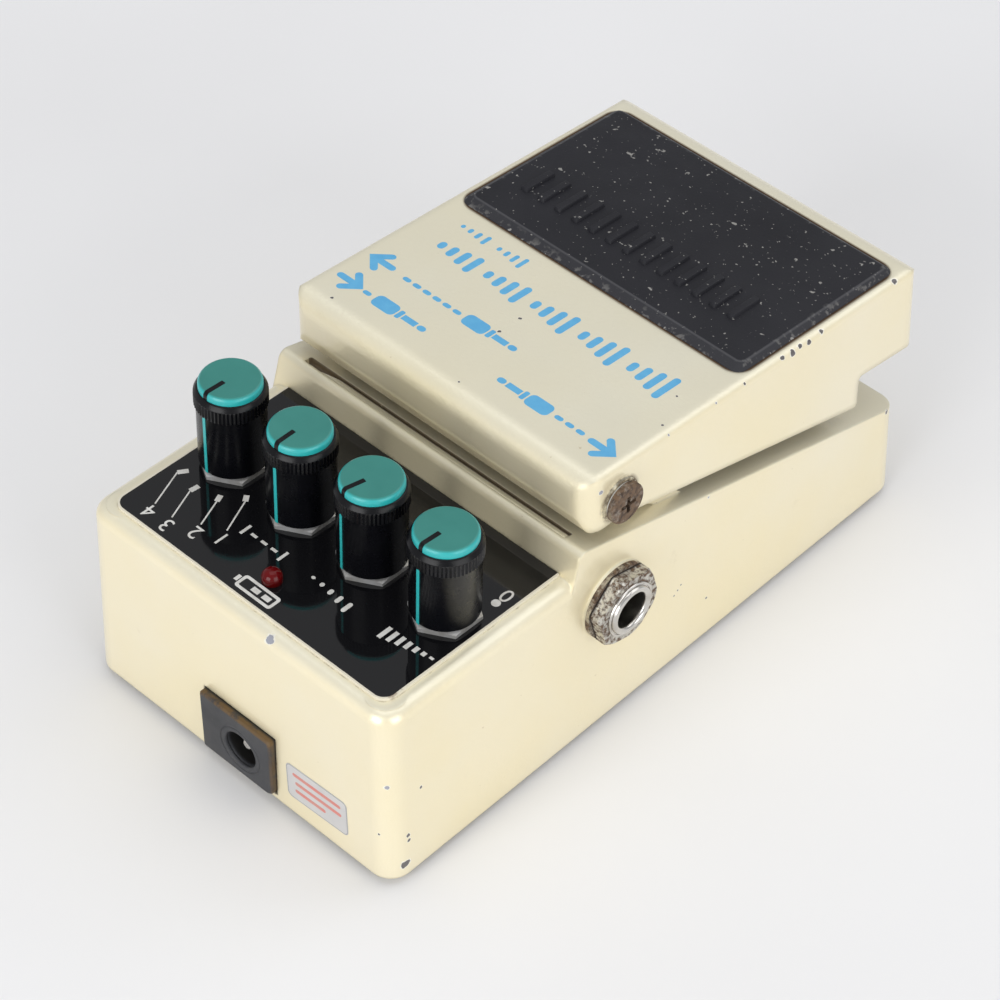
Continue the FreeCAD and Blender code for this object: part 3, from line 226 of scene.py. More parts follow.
def paintMaterial(name, chips, primerChips, dirtAndShadeBands, edgeRadius):
    made, tree, shader, where = startMaterial(name, Coat_Roughness=paint["coatRoughness"])
    cloud = patches(tree, where, (34, 4), 0.35, 0.7)
    # painted shade: faces that look up get the greyer top tone, upright faces the yellower side tone
    facingUpShade = axes(tree, normalOf(tree))["Z"]
    tone = blendTones(tree, step(tree, facingUpShade, 0.55, 0.97), blendTones(tree, cloud, *paint["side"]),
                      blendTones(tree, cloud, *paint["top"]))
    stain = times(tree, patches(tree, where, (95, 6, 0.65), 0.66, 0.78), 0.3)
    tone = blendTones(tree, stain, tone, paint["stain"])
    specks = patches(tree, where, (900, 2), 0.77, 0.81, 0.0, 0.45)
    tone = blendTones(tree, specks, tone, paint["stain"])
    # the pearl flakes break the gloss into a fine glitter, and sharp edges catch the light as if rounded
    softEdge = addNode(tree, "ShaderNodeBevel", {"Radius": edgeRadius * mm}, samples=6).outputs[0]
    surface = bump(tree, noise(tree, where, paint["flakeScale"], 2, 0.6), paint["flakeDepth"], under=softEdge)
    surface = bump(tree, noise(tree, where, 420, 2), 0.00004, 0.35, surface)
    rough = patches(tree, where, (60, 5), 0.3, 0.7, paint["roughness"] - 0.05, paint["roughness"] + 0.08)
    soiledAndShaded = 0.0
    # each band darkens towards the dirt tone: dirt along edges, and painted shade in the gutter
    for edge, reach, patchy, depth in dirtAndShadeBands:
        band = step(tree, maths(tree, "ABSOLUTE", edge(tree, where)), reach * 0.35 * mm, reach * mm, 1.0, 0.0)
        grain = patches(tree, where, (500, 5, 0.7), patchy, patchy + 0.2)
        share = times(tree, times(tree, band, grain), depth)
        tone = blendTones(tree, share, tone, paint["dirtAndShade"])
        rough = most(tree, rough, times(tree, share, 0.8))
        soiledAndShaded = most(tree, soiledAndShaded, share)
    chipped = None
    for places, under in ((chips, "bare"), (primerChips, "primer")):
        field = chipField(tree, where, places)
        tone = blendTones(tree, step(tree, field, 1.35, 1.05), tone, paint["rim"])
        gone = step(tree, field, 1.0, 0.86)
        tone = blendTones(tree, gone, tone, paint[under])
        chipped = gone if chipped is None else most(tree, chipped, gone)
    surface = bump(tree, maths(tree, "SUBTRACT", 1.0, chipped), 0.00012, 0.8, surface)
    feed(tree, shader, Base_Color=tone, Roughness=rough, Normal=surface,
         Coat_Weight=step(tree, soiledAndShaded, 0, 1, paint["coat"], 0),
         Metallic=step(tree, soiledAndShaded, 0, 1, paint["metallic"], 0))
    return made


def normalOf(tree):
    return addNode(tree, "ShaderNodeTexCoord").outputs["Normal"]


# rounded rectangles that dirt, wear, print and painted light and shade follow: centre, half size and radius
# in metres, and the axis of view
outlines = {
    "panel": ((0, 0.03984, 0), (0.0311, 0.01955, 0), 0.0025, "Z"),
    "panelRim": ((0, 0.02984, 0), (0.0311, 0.02955, 0), 0.0025, "Z"),
    "pad": ((0, -0.04167, 0), (0.0314, 0.02025, 0), 0.003, "Z"),
    "padField": ((0, -0.04212, 0), (0.0303, 0.01875, 0), 0.0012, "Z"),
    "gutter": ((0, 0.0162, 0), (0.0295, 0.00028, 0), 0.0002, "Z"),
    "socket": ((-0.00085, 0, 0.0093), (0.00825, 0, 0.0067), 0.0008, "Y"),
}
pivotStain = {"axis": (0, 0.00918, 0.04862), "inner": 0.0034}


def panelEdge(tree, where):
    return roundedEdge(tree, where, *outlines["panel"])


def padEdge(tree, where):
    return roundedEdge(tree, where, *outlines["pad"])


# away from the rear face a metre is added, so that the line stays off the toe
def socketEdge(tree, where):
    away = roundedEdge(tree, where, *outlines["socket"])
    along = axes(tree, where)["Y"]
    return maths(tree, "ADD", away, step(tree, along, 0.055, 0.050))


# inside the gutter behind the treadle the distance counts as nothing, so all of it gets the dirt tone, as
# painted shade in the gap under the treadle
def gutterEdge(tree, where):
    return most(tree, roundedEdge(tree, where, *outlines["gutter"]), 0.0)


def pivotEdge(tree, where):
    flat = vectorMaths(tree, "MULTIPLY", vectorMaths(tree, "SUBTRACT", where, pivotStain["axis"]), (0, 1, 1))
    away = vectorMaths(tree, "LENGTH", flat, output="Value")
    return most(tree, maths(tree, "SUBTRACT", away, pivotStain["inner"]), 0.0)


def floorMaterial():
    made, tree, shader, where = startMaterial("studioFloor", Roughness=0.75)
    smudge = patches(tree, where, (9, 4), 0.3, 0.75)
    feed(tree, shader, Base_Color=blendTones(tree, smudge, (0.84, 0.84, 0.85), (0.815, 0.812, 0.82)))
    return made


panel = {
    "black": (0.006, 0.006, 0.007),
    "edge": (0.74, 0.69, 0.56),
    "edgeWidth": 0.36,
}


def panelMaterial():
    made, tree, shader, where = startMaterial("panelEnamel", IOR=1.45)
    # the line leaves the panel's front edge out, where it runs under the hump
    away = roundedEdge(tree, where, *outlines["panelRim"])
    wobble = times(tree, maths(tree, "SUBTRACT", noise(tree, where, 700, 3), 0.5), 0.00008)
    line = step(tree, maths(tree, "ADD", away, wobble), -panel["edgeWidth"] * mm,
                (0.03 - panel["edgeWidth"]) * mm)
    dusty = patches(tree, where, (1300, 2), 0.80, 0.82, 0.0, 0.4)
    tone = blendTones(tree, dusty, panel["black"], (0.22, 0.21, 0.2))
    grime = patches(tree, where, (240, 4), 0.66, 0.76)
    edgeTone = blendTones(tree, grime, panel["edge"], (0.16, 0.085, 0.035))
    tone = blendTones(tree, line, tone, edgeTone)
    rough = patches(tree, where, (90, 5), 0.35, 0.75, 0.03, 0.09)
    rough = most(tree, rough, times(tree, line, 0.55))
    feed(tree, shader, Base_Color=tone, Roughness=rough)
    return made


# plain moulded or turned finishes: a base tone with a second tone in patches, specks and a fine surface
def plainMaterial(name, tone, second, roughness, metallic=0.0, patch=120, speck=0.0,
                  speckTone=(0.5, 0.5, 0.5), grain=900, depth=0.00002, spread=0.1, **sockets):
    made, tree, shader, where = startMaterial(name, Metallic=metallic, **sockets)
    cloud = patches(tree, where, (patch, 5, 0.6), 0.38, 0.68)
    mixed = blendTones(tree, cloud, tone, second)
    if speck:
        spots = patches(tree, where, (1100, 3), 0.80 - speck, 0.83 - speck)
        mixed = blendTones(tree, spots, mixed, speckTone)
    rough = patches(tree, where, (patch * 1.7, 4), 0.3, 0.7, roughness - spread / 2, roughness + spread / 2)
    surface = bump(tree, noise(tree, where, grain, 3), depth)
    feed(tree, shader, Base_Color=mixed, Roughness=rough, Normal=surface)
    return made


# shadow, where it is given, is the distance from the middle plane up to which the metal is painted nearly
# black, as painted shade on the part nearest the housing
def rustyMaterial(name, metalTone, rust, rough, patch=260, shadow=None):
    made, tree, shader, where = startMaterial(name)
    spots = patches(tree, where, (patch, 6, 0.7), 0.52 - rust * 0.2, 0.66 - rust * 0.2)
    deep = patches(tree, where, (patch * 2.3, 4), 0.45, 0.65)
    rustTone = blendTones(tree, deep, (0.15, 0.095, 0.058), (0.055, 0.036, 0.026))
    tone = blendTones(tree, spots, metalTone, rustTone)
    if shadow:
        across = maths(tree, "ABSOLUTE", axes(tree, where)["X"])
        hidden = step(tree, across, shadow[1], shadow[0])
        tone = blendTones(tree, hidden, tone, (0.02, 0.014, 0.010))
        spots = most(tree, spots, hidden)
    feed(tree, shader, Base_Color=tone, Metallic=step(tree, spots, 0, 1, 0.95, 0.1),
         Roughness=step(tree, spots, 0, 1, rough, 0.85),
         Normal=bump(tree, times(tree, spots, noise(tree, where, 1500, 3)), 0.00012))
    return made


def capMaterial():
    made, tree, shader, where = startMaterial("capTeal", Coat_Weight=0.2, Coat_Roughness=0.2)
    cloud = patches(tree, where, (150, 5), 0.35, 0.7)
    tone = blendTones(tree, cloud, (0.024, 0.205, 0.175), (0.028, 0.225, 0.192))
    # height above the tilted panel: the rounded rim is painted a brighter cyan than the flat, a painted
    # highlight where the rim turns towards the lamps
    parts = axes(tree, where)
    tilt = times(tree, maths(tree, "SUBTRACT", parts["Y"], 0.03899), 0.0315)
    height = maths(tree, "SUBTRACT", parts["Z"], tilt)
    side = step(tree, height, 0.05702, 0.05675)
    tone = blendTones(tree, side, tone, (0.022, 0.40, 0.40))
    specks = patches(tree, where, (800, 2), 0.80, 0.82)
    tone = blendTones(tree, specks, tone, (0.02, 0.06, 0.055))
    rough = patches(tree, where, (300, 4), 0.3, 0.7, 0.30, 0.42)
    feed(tree, shader, Base_Color=tone, Roughness=rough,
         Normal=bump(tree, noise(tree, where, 1300, 3), 0.00001))
    return made


def padMaterial():
    made, tree, shader, where = startMaterial("padRubber", Specular_IOR_Level=0.3)
    cloud = patches(tree, where, (45, 5), 0.35, 0.7)
    tone = blendTones(tree, cloud, (0.010, 0.010, 0.014), (0.015, 0.015, 0.020))
    worn = patches(tree, where, (170, 6, 0.7), 0.60, 0.74)
    grit = patches(tree, where, (1000, 3, 0.6), 0.66, 0.72)
    dust = times(tree, worn, grit)
    lone = patches(tree, where, (620, 2), 0.70, 0.73)
    fine = patches(tree, where, (1500, 2), 0.70, 0.73, 0, 0.7)
    lone = most(tree, times(tree, lone, 0.8), fine)
    dust = most(tree, times(tree, dust, 0.8), lone)
    edge = step(tree, padEdge(tree, where), -0.0018, -0.0004)
    rubbed = patches(tree, where, (800, 4), 0.56, 0.66, 0, 0.3)
    dust = most(tree, dust, times(tree, edge, rubbed))
    # the pad's raised field ends inside a sloped border, which is given a lighter tone than the field as
    # painted light; a paler line runs along the field's edge
    border = roundedEdge(tree, where, *outlines["padField"])
    tone = blendTones(tree, step(tree, border, 0.0, 0.0002, 0.0, 0.5), tone, (0.040, 0.040, 0.046))
    rim = step(tree, maths(tree, "ABSOLUTE", border), 0.00026, 0.00008, 0.0, 0.6)
    tone = blendTones(tree, rim, tone, (0.085, 0.085, 0.092))
    tone = blendTones(tree, dust, tone, (0.34, 0.33, 0.31))
    rough = patches(tree, where, (120, 5), 0.3, 0.7, 0.48, 0.66)
    feed(tree, shader, Base_Color=tone, Roughness=rough,
         Normal=bump(tree, noise(tree, where, 1600, 3), 0.00004, 0.8))
    return made


def boardMaterial():
    made, tree, shader, where = startMaterial("circuitBoard", Coat_Weight=0.5, Coat_Roughness=0.2)
    parts = axes(tree, where)
    lines = None
    for axis, pitch in (("X", 2.54), ("Y", 3.81)):
        wave = maths(tree, "FRACT", maths(tree, "DIVIDE", parts[axis], pitch * mm))
        near = step(tree, maths(tree, "ABSOLUTE", maths(tree, "SUBTRACT", wave, 0.5)), 0.14, 0.10)
        lines = near if lines is None else most(tree, lines, near)
    gaps = addNode(tree, "ShaderNodeTexVoronoi", {"Vector": where, "Scale": 160}).outputs["Distance"]
    broken = times(tree, lines, step(tree, gaps, 0.25, 0.35))
    tone = blendTones(tree, broken, (0.02, 0.14, 0.05), (0.05, 0.26, 0.09))
    feed(tree, shader, Base_Color=tone, Roughness=patches(tree, where, (200, 3), 0.3, 0.7, 0.35, 0.5))
    return made


def leadMaterial():
    made, tree, shader, where = startMaterial("leadInsulation", Roughness=0.45)
    height = axes(tree, where)["Z"]
    red = step(tree, height, 0.0108, 0.0110)
    tone = blendTones(tree, red, (0.012, 0.012, 0.013), (0.42, 0.02, 0.015))
    tone = blendTones(tree, patches(tree, where, (900, 3), 0.55, 0.75, 0, 0.4), tone, (0.2, 0.15, 0.13))
    feed(tree, shader, Base_Color=tone)
    return made


def batteryMaterial():
    made, tree, shader, where = startMaterial("batteryCase", Metallic=0.6)
    along = axes(tree, where)["X"]
    band = step(tree, along, 0.0085, 0.0087)
    scuff = patches(tree, where, (220, 6, 0.7), 0.6, 0.75, 0, 0.5)
    tone = blendTones(tree, band, (0.10, 0.10, 0.11), (0.45, 0.32, 0.08))
    tone = blendTones(tree, scuff, tone, (0.4, 0.4, 0.4))
    feed(tree, shader, Base_Color=tone, Roughness=patches(tree, where, (90, 4), 0.3, 0.7, 0.25, 0.42))
    return made


def lampMaterial():
    made, tree, shader, where = startMaterial("lampLens", Coat_Weight=0.1, Coat_Roughness=0.02,
                                              Specular_IOR_Level=0.2)
    height = axes(tree, where)["Z"]
    tone = blendTones(tree, step(tree, height, 0.0392, 0.0414), (0.04, 0.001, 0.001), (0.12, 0.002, 0.003))
    tone = blendTones(tree, patches(tree, where, (900, 3), 0.5, 0.7, 0, 0.4), tone, (0.12, 0.002, 0.004))
    feed(tree, shader, Base_Color=tone, Roughness=patches(tree, where, (500, 2), 0.3, 0.7, 0.06, 0.16))
    return made


def socketMaterial():
    made, tree, shader, where = startMaterial("socketPlastic")
    cloud = patches(tree, where, (180, 5), 0.35, 0.7)
    tone = blendTones(tree, cloud, (0.028, 0.029, 0.033), (0.036, 0.037, 0.042))
    band = step(tree, maths(tree, "ABSOLUTE", socketEdge(tree, where)), 0.0007, 0.0002)
    parts = axes(tree, where)
    # brown dirt sits along the top edge and down the end nearest the corner
    held = most(tree, step(tree, parts["Z"], 0.0145, 0.0152),
                times(tree, step(tree, parts["X"], -0.0085, -0.0089), 0.6))
    grain = patches(tree, where, (420, 5, 0.7), 0.36, 0.52)
    tone = blendTones(tree, times(tree, times(tree, band, held), grain), tone, (0.13, 0.075, 0.025))
    # painted shade: behind the socket's front face, inside its hole, the plastic is made nearly black
    holeShade = step(tree, parts["Y"], 0.0634, 0.0630)
    tone = blendTones(tree, holeShade, tone, (0.012, 0.011, 0.010))
    dust = patches(tree, where, (1200, 3), 0.74, 0.78, 0, 0.35)
    tone = blendTones(tree, dust, tone, (0.25, 0.24, 0.22))
    softEdge = addNode(tree, "ShaderNodeBevel", {"Radius": 0.0007}, samples=4).outputs[0]
    feed(tree, shader, Base_Color=tone, Roughness=patches(tree, where, (140, 4), 0.3, 0.7, 0.42, 0.6),
         Normal=bump(tree, noise(tree, where, 1500, 3), 0.00002, under=softEdge))
    return made


# chips in the paint: x, y, z and radius in millimetres
housingChips = [
    (-35.06, 58.96, 10.5, 0.42), (-35.06, 58.8, 9.3, 0.35), (-35.18, 59.8, 4.17, 0.8),
    (-32.36, 62.72, 11.9, 0.25), (-34.81, 55.7, 19.4, 0.28), (-34.84, -5.62, 18.3, 0.18),
    (-34.86, -4.8, 17.6, 0.2), (-34.88, -3.95, 16.95, 0.18), (-35.07, -12.2, 10.1, 0.25),
    (-34.7, -59.4, 20.5, 0.4), (34.0, 20.0, 12.0, 0.5), (5.0, -62.4, 14.0, 0.6),
]
housingPrimerChips = [
    (-8.25, 61.59, 38.15, 0.8), (-33.42, 61.58, 23.27, 0.42), (-34.3, -12.0, 34.0, 0.3),
]
treadleChips = [
    (-33.2, -30.5, 51.9, 0.5), (-33.3, -33.0, 51.3, 0.6), (-33.2, -35.0, 51.5, 0.5),
    (-33.3, -37.2, 50.9, 0.45), (-33.1, -40.5, 51.1, 0.5), (-2.07, 13.09, 55.98, 0.24),
    (2.38, -0.86, 54.75, 0.3), (2.41, -5.87, 54.31, 0.28), (-32.9, -60.0, 49.4, 0.6),
    (20.0, -66.0, 48.8, 0.5), (26.92, 13.11, 55.99, 0.28), (-28.05, -10.22, 53.93, 0.2),
    (-31.23, -3.18, 54.55, 0.2), (-33.3, -21.0, 52.6, 0.3),
]
treadlePrimerChips = [(-33.33, 13.48, 52.91, 0.4), (-33.2, -14.0, 53.2, 0.3), (-33.3, -2.5, 54.2, 0.25)]

metalTones = {
    "steel": ((0.46, 0.45, 0.43), (0.36, 0.35, 0.33)),
    "nickel": ((0.66, 0.64, 0.61), (0.52, 0.49, 0.45)),
}


def dressNodes():
    knobBlack = plainMaterial("knobPlastic", (0.0015, 0.0018, 0.0028), (0.003, 0.003, 0.0045), 0.28,
                              patch=180, speck=0.02, speckTone=(0.05, 0.05, 0.05), Specular_IOR_Level=0.25)
    nickel = plainMaterial("jackNickel", *metalTones["nickel"], 0.20, 1.0, patch=300, speck=0.05,
                           speckTone=(0.25, 0.2, 0.14))
    steel = plainMaterial("platedSteel", *metalTones["steel"], 0.36, 1.0, patch=240, speck=0.04,
                          speckTone=(0.2, 0.17, 0.13))
    wire = plainMaterial("springWire", (0.42, 0.42, 0.42), (0.3, 0.29, 0.28), 0.28, 1.0, patch=500)
    blackPlastic = plainMaterial("mouldedBlack", (0.012, 0.012, 0.013), (0.02, 0.02, 0.021), 0.45, patch=200)
    white = plainMaterial("acetalWhite", (0.72, 0.72, 0.68), (0.62, 0.61, 0.56), 0.4, patch=260)
    nutSteel = plainMaterial("wornNutSteel", (0.50, 0.50, 0.50), (0.36, 0.35, 0.33), 0.42, 0.55, patch=420,
                             speck=0.05, speckTone=(0.12, 0.10, 0.08))
    jackRust = rustyMaterial("rustedJackNut", (0.60, 0.58, 0.53), 0.42, 0.34, 1100, shadow=(0.0358, 0.0361))
    pivotRust = rustyMaterial("rustedPivotScrew", (0.34, 0.29, 0.24), 0.80, 0.42, 420)
    finishes = {
        # the gutter band is painted shade in the gap under the treadle; the panel and socket bands are dirt
        "housing": paintMaterial("housingPaint", housingChips, housingPrimerChips,
                                 [(panelEdge, 0.3, 0.50, 0.6), (socketEdge, 0.5, 0.45, 0.8),
                                  (gutterEdge, 0.25, 0.15, 0.85)], 0.7),
        "treadle": paintMaterial("treadlePaint", treadleChips, treadlePrimerChips,
                                 [(padEdge, 0.75, 0.02, 1.0), (pivotEdge, 1.3, 0.36, 0.9)], 1.8),
        "rubber_base": plainMaterial("baseRubber", (0.014, 0.014, 0.014), (0.03, 0.029, 0.028), 0.8,
                                     grain=1500, depth=0.00005, speck=0.05, speckTone=(0.2, 0.19, 0.17)),
        "bottom_plate": steel,
        "bottom_screws": rustyMaterial("baseScrewSteel", (0.5, 0.49, 0.46), 0.2, 0.35),
        "control_panel": panelMaterial(),
        "check_lamp": lampMaterial(),
        "control_nuts": nutSteel,
        "control_washers": steel,
        "jack_nuts": jackRust,
        "jack_washers": rustyMaterial("rustedJackWasher", (0.50, 0.46, 0.38), 0.60, 0.4, 600),
        "jack_tip_springs": wire,
        "power_socket": socketMaterial(),
        "power_socket_pin": nickel,
        "control_board": boardMaterial(),
        "main_board": boardMaterial(),
        "board_standoffs": plainMaterial("turnedBrass", (0.62, 0.44, 0.16), (0.5, 0.34, 0.12), 0.3, 1.0,
                                         patch=350),
        "board_screws": steel,
        "board_parts": plainMaterial("chipCasing", (0.012, 0.012, 0.013), (0.035, 0.035, 0.036), 0.5,
                                     patch=90),
        "insulating_sheet": plainMaterial("fibreSheet", (0.50, 0.47, 0.38), (0.58, 0.55, 0.46), 0.75,
                                          grain=2200, depth=0.00005),
        "lead_connector": white,
        "battery": batteryMaterial(),
        "battery_snap": blackPlastic,
        "battery_leads": leadMaterial(),
        "foot_pad": padMaterial(),
        "pivot_bushes": white,
        "pivot_screws": pivotRust,
        "lock_insert": plainMaterial("insertBrass", (0.6, 0.43, 0.16), (0.46, 0.32, 0.12), 0.32, 1.0,
                                     patch=400),
        "guide_bush": white,
        "thumbscrew": plainMaterial("thumbscrewMetal", (0.5, 0.49, 0.46), (0.38, 0.36, 0.32), 0.3, 1.0,
                                    patch=300, speck=0.06, speckTone=(0.15, 0.11, 0.07)),
        "foot_switch_body": blackPlastic,
        "switch_plunger": white,
        "return_spring": wire,
    }
    for jack in ("output", "input", "direct"):
        finishes[jack + "_jack_body"] = blackPlastic
        finishes[jack + "_jack_sleeve"] = nickel
    cap = capMaterial()
    for control, body in (("mode", "mode_switch_body"), ("time", "time_pot_body"),
                          ("feedback", "feedback_pot_body"), ("level", "level_pot_body")):
        finishes[body] = steel
        finishes[control + "_shaft"] = plainMaterial(control + "ShaftMetal", (0.6, 0.6, 0.6),
                                                     (0.5, 0.5, 0.5), 0.3, 1.0, patch=300)
        finishes[control + "_knob"] = knobBlack
        finishes[control + "_knob_cap"] = cap
    for name, node in nodes.items():
        node.data.materials.clear()
        node.data.materials.append(finishes[name])
    return finishes


makeCamera()
makeStudio()
finishes = dressNodes()
print("finishes given to", len(finishes), "nodes")

# heights in millimetres: each sloped face rises by its share of the way from a known place along +Y
slopes = {
    "panel": {"rise": 0.0315, "height": 38.15, "from": 20.29},
    "treadle": {"rise": 0.0882, "height": 54.83, "from": 0.0},
    "deck": {"rise": 0.29, "height": 38.12, "from": 0.0},
}
rearFace = {"lean": 1.58, "y": 63.25, "z": 1.6}


def onSlope(name, x, y, lift, turn=0.0):
    slope = slopes[name]
    z = slope["height"] + slope["rise"] * (y - slope["from"])
    lean = Matrix.Rotation(math.atan(slope["rise"]), 4, "X")
    raised = lean @ Vector((0, 0, lift * mm))
    place = Matrix.Translation(Vector((x, y, z)) * mm + raised)
    return place @ lean @ Matrix.Rotation(math.radians(turn), 4, "Z")


def onRearFace(x, z, lift, turn=0.0):
    lean = math.radians(rearFace["lean"])
    y = rearFace["y"] - (z - rearFace["z"]) * math.tan(lean)
    upright = Matrix.Rotation(math.pi, 4, "Z") @ Matrix.Rotation(math.pi / 2 - lean, 4, "X")
    raised = Vector((0, math.cos(lean), math.sin(lean))) * lift * mm
    place = Matrix.Translation(Vector((x, y, z)) * mm + raised)
    return place @ upright @ Matrix.Rotation(math.radians(turn), 4, "Z")


# flat print and stickers are filled outlines, in millimetres, with a little thickness
def flatPiece(name, outlines, thickness, place):
    shape = bpy.data.curves.new(name, "CURVE")
    shape.dimensions = "2D"
    shape.fill_mode = "BOTH"
    shape.extrude = thickness / 2 * mm
    for points in outlines:
        line = shape.splines.new("POLY")
        line.points.add(len(points) - 1)
        for spot, (x, y) in zip(line.points, points):
            spot.co = (x * mm, y * mm, 0, 1)
        line.use_cyclic_u = True
    piece = bpy.data.objects.new(name, shape)
    scene.collection.objects.link(piece)
    return meshPiece(piece, place)


def takeUp(piece):
    bpy.ops.object.select_all(action="DESELECT")
    bpy.context.view_layer.objects.active = piece
    piece.select_set(True)


def leaveEdit():
    bpy.ops.mesh.select_all(action="SELECT")
    bpy.ops.mesh.normals_make_consistent(inside=False)
    bpy.ops.object.mode_set(mode="OBJECT")


def meshPiece(piece, place):
    takeUp(piece)
    bpy.ops.object.convert(target="MESH")
    piece = bpy.context.object
    piece.matrix_world = place
    bpy.ops.object.transform_apply()
    bpy.ops.object.mode_set(mode="EDIT")
    bpy.ops.mesh.select_all(action="SELECT")
    bpy.ops.mesh.remove_doubles(threshold=0.000001)
    leaveEdit()
    return piece


def finishPiece(piece, body, finish):
    piece.data.materials.clear()
    piece.data.materials.append(finish)
    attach(piece, body)
    bpy.ops.object.select_all(action="DESELECT")
    return piece


def bar(x, y, length, width, turn=0.0):
    corners = [(-length / 2, -width / 2), (length / 2, -width / 2), (length / 2, width / 2),
               (-length / 2, width / 2)]
    return placed(corners, x, y, turn)


def barBetween(start, end, width):
    dx, dy = end[0] - start[0], end[1] - start[1]
    return bar((start[0] + end[0]) / 2, (start[1] + end[1]) / 2, math.hypot(dx, dy), width,
               math.degrees(math.atan2(dy, dx)))


def disc(x, y, radius, count=24):
    return [(x + radius * math.cos(2 * math.pi * i / count), y + radius * math.sin(2 * math.pi * i / count))
            for i in range(count)]


def roundedBar(x, y, length, width, turn=0.0, count=6):
    reach, radius = (length - width) / 2, width / 2
    points = []
    for end, start in ((reach, -90), (-reach, 90)):
        for i in range(count + 1):
            t = math.radians(start + 180 * i / count)
            points.append((end + radius * math.cos(t), radius * math.sin(t)))
    return placed(points, x, y, turn)


def placed(points, x, y, turn):
    c, s = math.cos(math.radians(turn)), math.sin(math.radians(turn))
    return [(x + a * c - b * s, y + a * s + b * c) for a, b in points]


# open arrow with rounded ends, whose tip points along -X before its turn
def arrow(x, y, length, spread, stroke, turn=0.0):
    root = math.sqrt(0.5)
    s = stroke * root
    reach = spread / 2 - s / 2
    middle = (reach + s / 2, reach - s / 2)
    half = [(0, 0)]
    for i in range(7):
        t = math.radians(135 - 30 * i)
        half.append((middle[0] + stroke / 2 * math.cos(t), middle[1] + stroke / 2 * math.sin(t)))
    half.append((stroke / 2 + 2 * s, stroke / 2))
    for i in range(4):
        t = math.radians(90 - 30 * i)
        half.append((length - stroke / 2 + stroke / 2 * math.cos(t), stroke / 2 * math.sin(t)))
    points = half + [(a, -b) for a, b in reversed(half[1:-1])]
    return placed([(a - length / 2, b) for a, b in points], x, y, turn)


# a phone plug seen from the side, tip along -X before its turn: barrel, collar, shaft, tip and dashed lead
plug = {"barrel": (5.0, 3.0, 1.0), "collar": (0.9, 2.2, 0.3), "shaft": (3.0, 1.3), "tip": (1.7, 1.3),
        "shifts": (2.6, -0.65, -2.9, -5.6), "dash": (1.7, 0.95), "dashStart": 6.9, "dashPitch": 2.3}


def plugMark(x, y, leadDashes, turn=0.0):
    parts = [roundedRectangle(*plug["barrel"]), roundedRectangle(*plug["collar"]), bar(0, 0, *plug["shaft"]),
             roundedBar(0, 0, *plug["tip"])]
    shapes = [[(a + shift, b) for a, b in points] for points, shift in zip(parts, plug["shifts"])]
    for i in range(leadDashes):
        shapes.append(roundedBar(plug["dashStart"] + plug["dashPitch"] * i, 0, *plug["dash"]))
    return [placed(points, x, y, turn) for points in shapes]


panelPrint = {
    "lift": 0.008,
    "thickness": 0.03,
    "tickWidth": 0.95,
    "lineWidth": 0.26,
    "leaders": [
        [(27.62, 45.75), (28.67, 47.29), (25.81, 54.73)],
        [(23.83, 47.01), (24.02, 48.72), (21.57, 54.94)],
        [(19.75, 45.96), (19.17, 47.37), (17.09, 52.75)],
        [(16.78, 43.0), (15.92, 44.13), (13.14, 50.76)],
    ],
    "digits": [("4", 25.2, 55.2), ("3", 20.9, 55.4), ("2", 16.4, 53.3), ("1", 12.4, 51.3),
               ("0", -28.6, 28.4)],
    "digitSize": 3.0,
    "digitScale": 1.35,
    "centre": 39.84,
    "dot": (-28.44, 32.03, 0.8),
    # rows of bars: how many, the first one's x, y, length and width, and what each next one adds to these
    "rows": [
        (2, (2.6, 48.5, 0.55, 2.4), (8.6, 0, 0, 0)),
        (3, (4.6, 48.5, 1.3, 0.55), (2.3, 0, 0, 0)),
        (7, (-29.6, 47.6, 0.8, 0.5), (1.5, 0.2, 0, 0.4)),
        (1, (4.25, 56.7, 0.7, 1.3), (0, 0, 0, 0)),
        (2, (-2.3, 56.7, 1.6, 1.0), (2.4, 0, 0, 0)),
    ],
    "fading": {"count": 5, "x": -12.6, "pitch": 2.1, "y": 48.0, "rise": 1.2, "length": 2.4, "width": 0.8,
               "fade": 0.72},
    "cell": [(8.0, 3.0, 0.6), (6.9, 1.9, 0.3)],
    "cellCentre": (-0.3, 56.7),
}


# signs for the three controls and the lamp: a span, a rising wedge, fading repeats and a battery cell
def panelSigns():
    shapes = []
    for count, first, growth in panelPrint["rows"]:
        for i in range(count):
            shapes.append(bar(*(a + i * b for a, b in zip(first, growth))))
    f = panelPrint["fading"]
    for i in range(f["count"]):
        fade = f["fade"] ** i
        shapes.append(roundedBar(f["x"] + f["pitch"] * i, f["y"] + f["rise"] * fade, f["length"] * fade,
                                 f["width"], 90))
    for size in panelPrint["cell"]:
        shapes.append(placed(roundedRectangle(*size), *panelPrint["cellCentre"], 0))
    return shapes


def makeDigits(name, digits, size, thickness):
    made = []
    for text, x, y in digits:
        bpy.ops.object.text_add()
        glyph = bpy.context.object
        glyph.data.body = text
        glyph.data.size = size * mm * panelPrint["digitScale"]
        glyph.data.align_x = "CENTER"
        glyph.data.extrude = thickness / 2 * mm
        glyph.data.resolution_u = 4
        made.append(meshPiece(glyph, onSlope("panel", x, y, panelPrint["lift"])))
    takeUp(made[0])
    for piece in made:
        piece.select_set(True)
    bpy.ops.object.join()
    made[0].name = name
    return made[0]


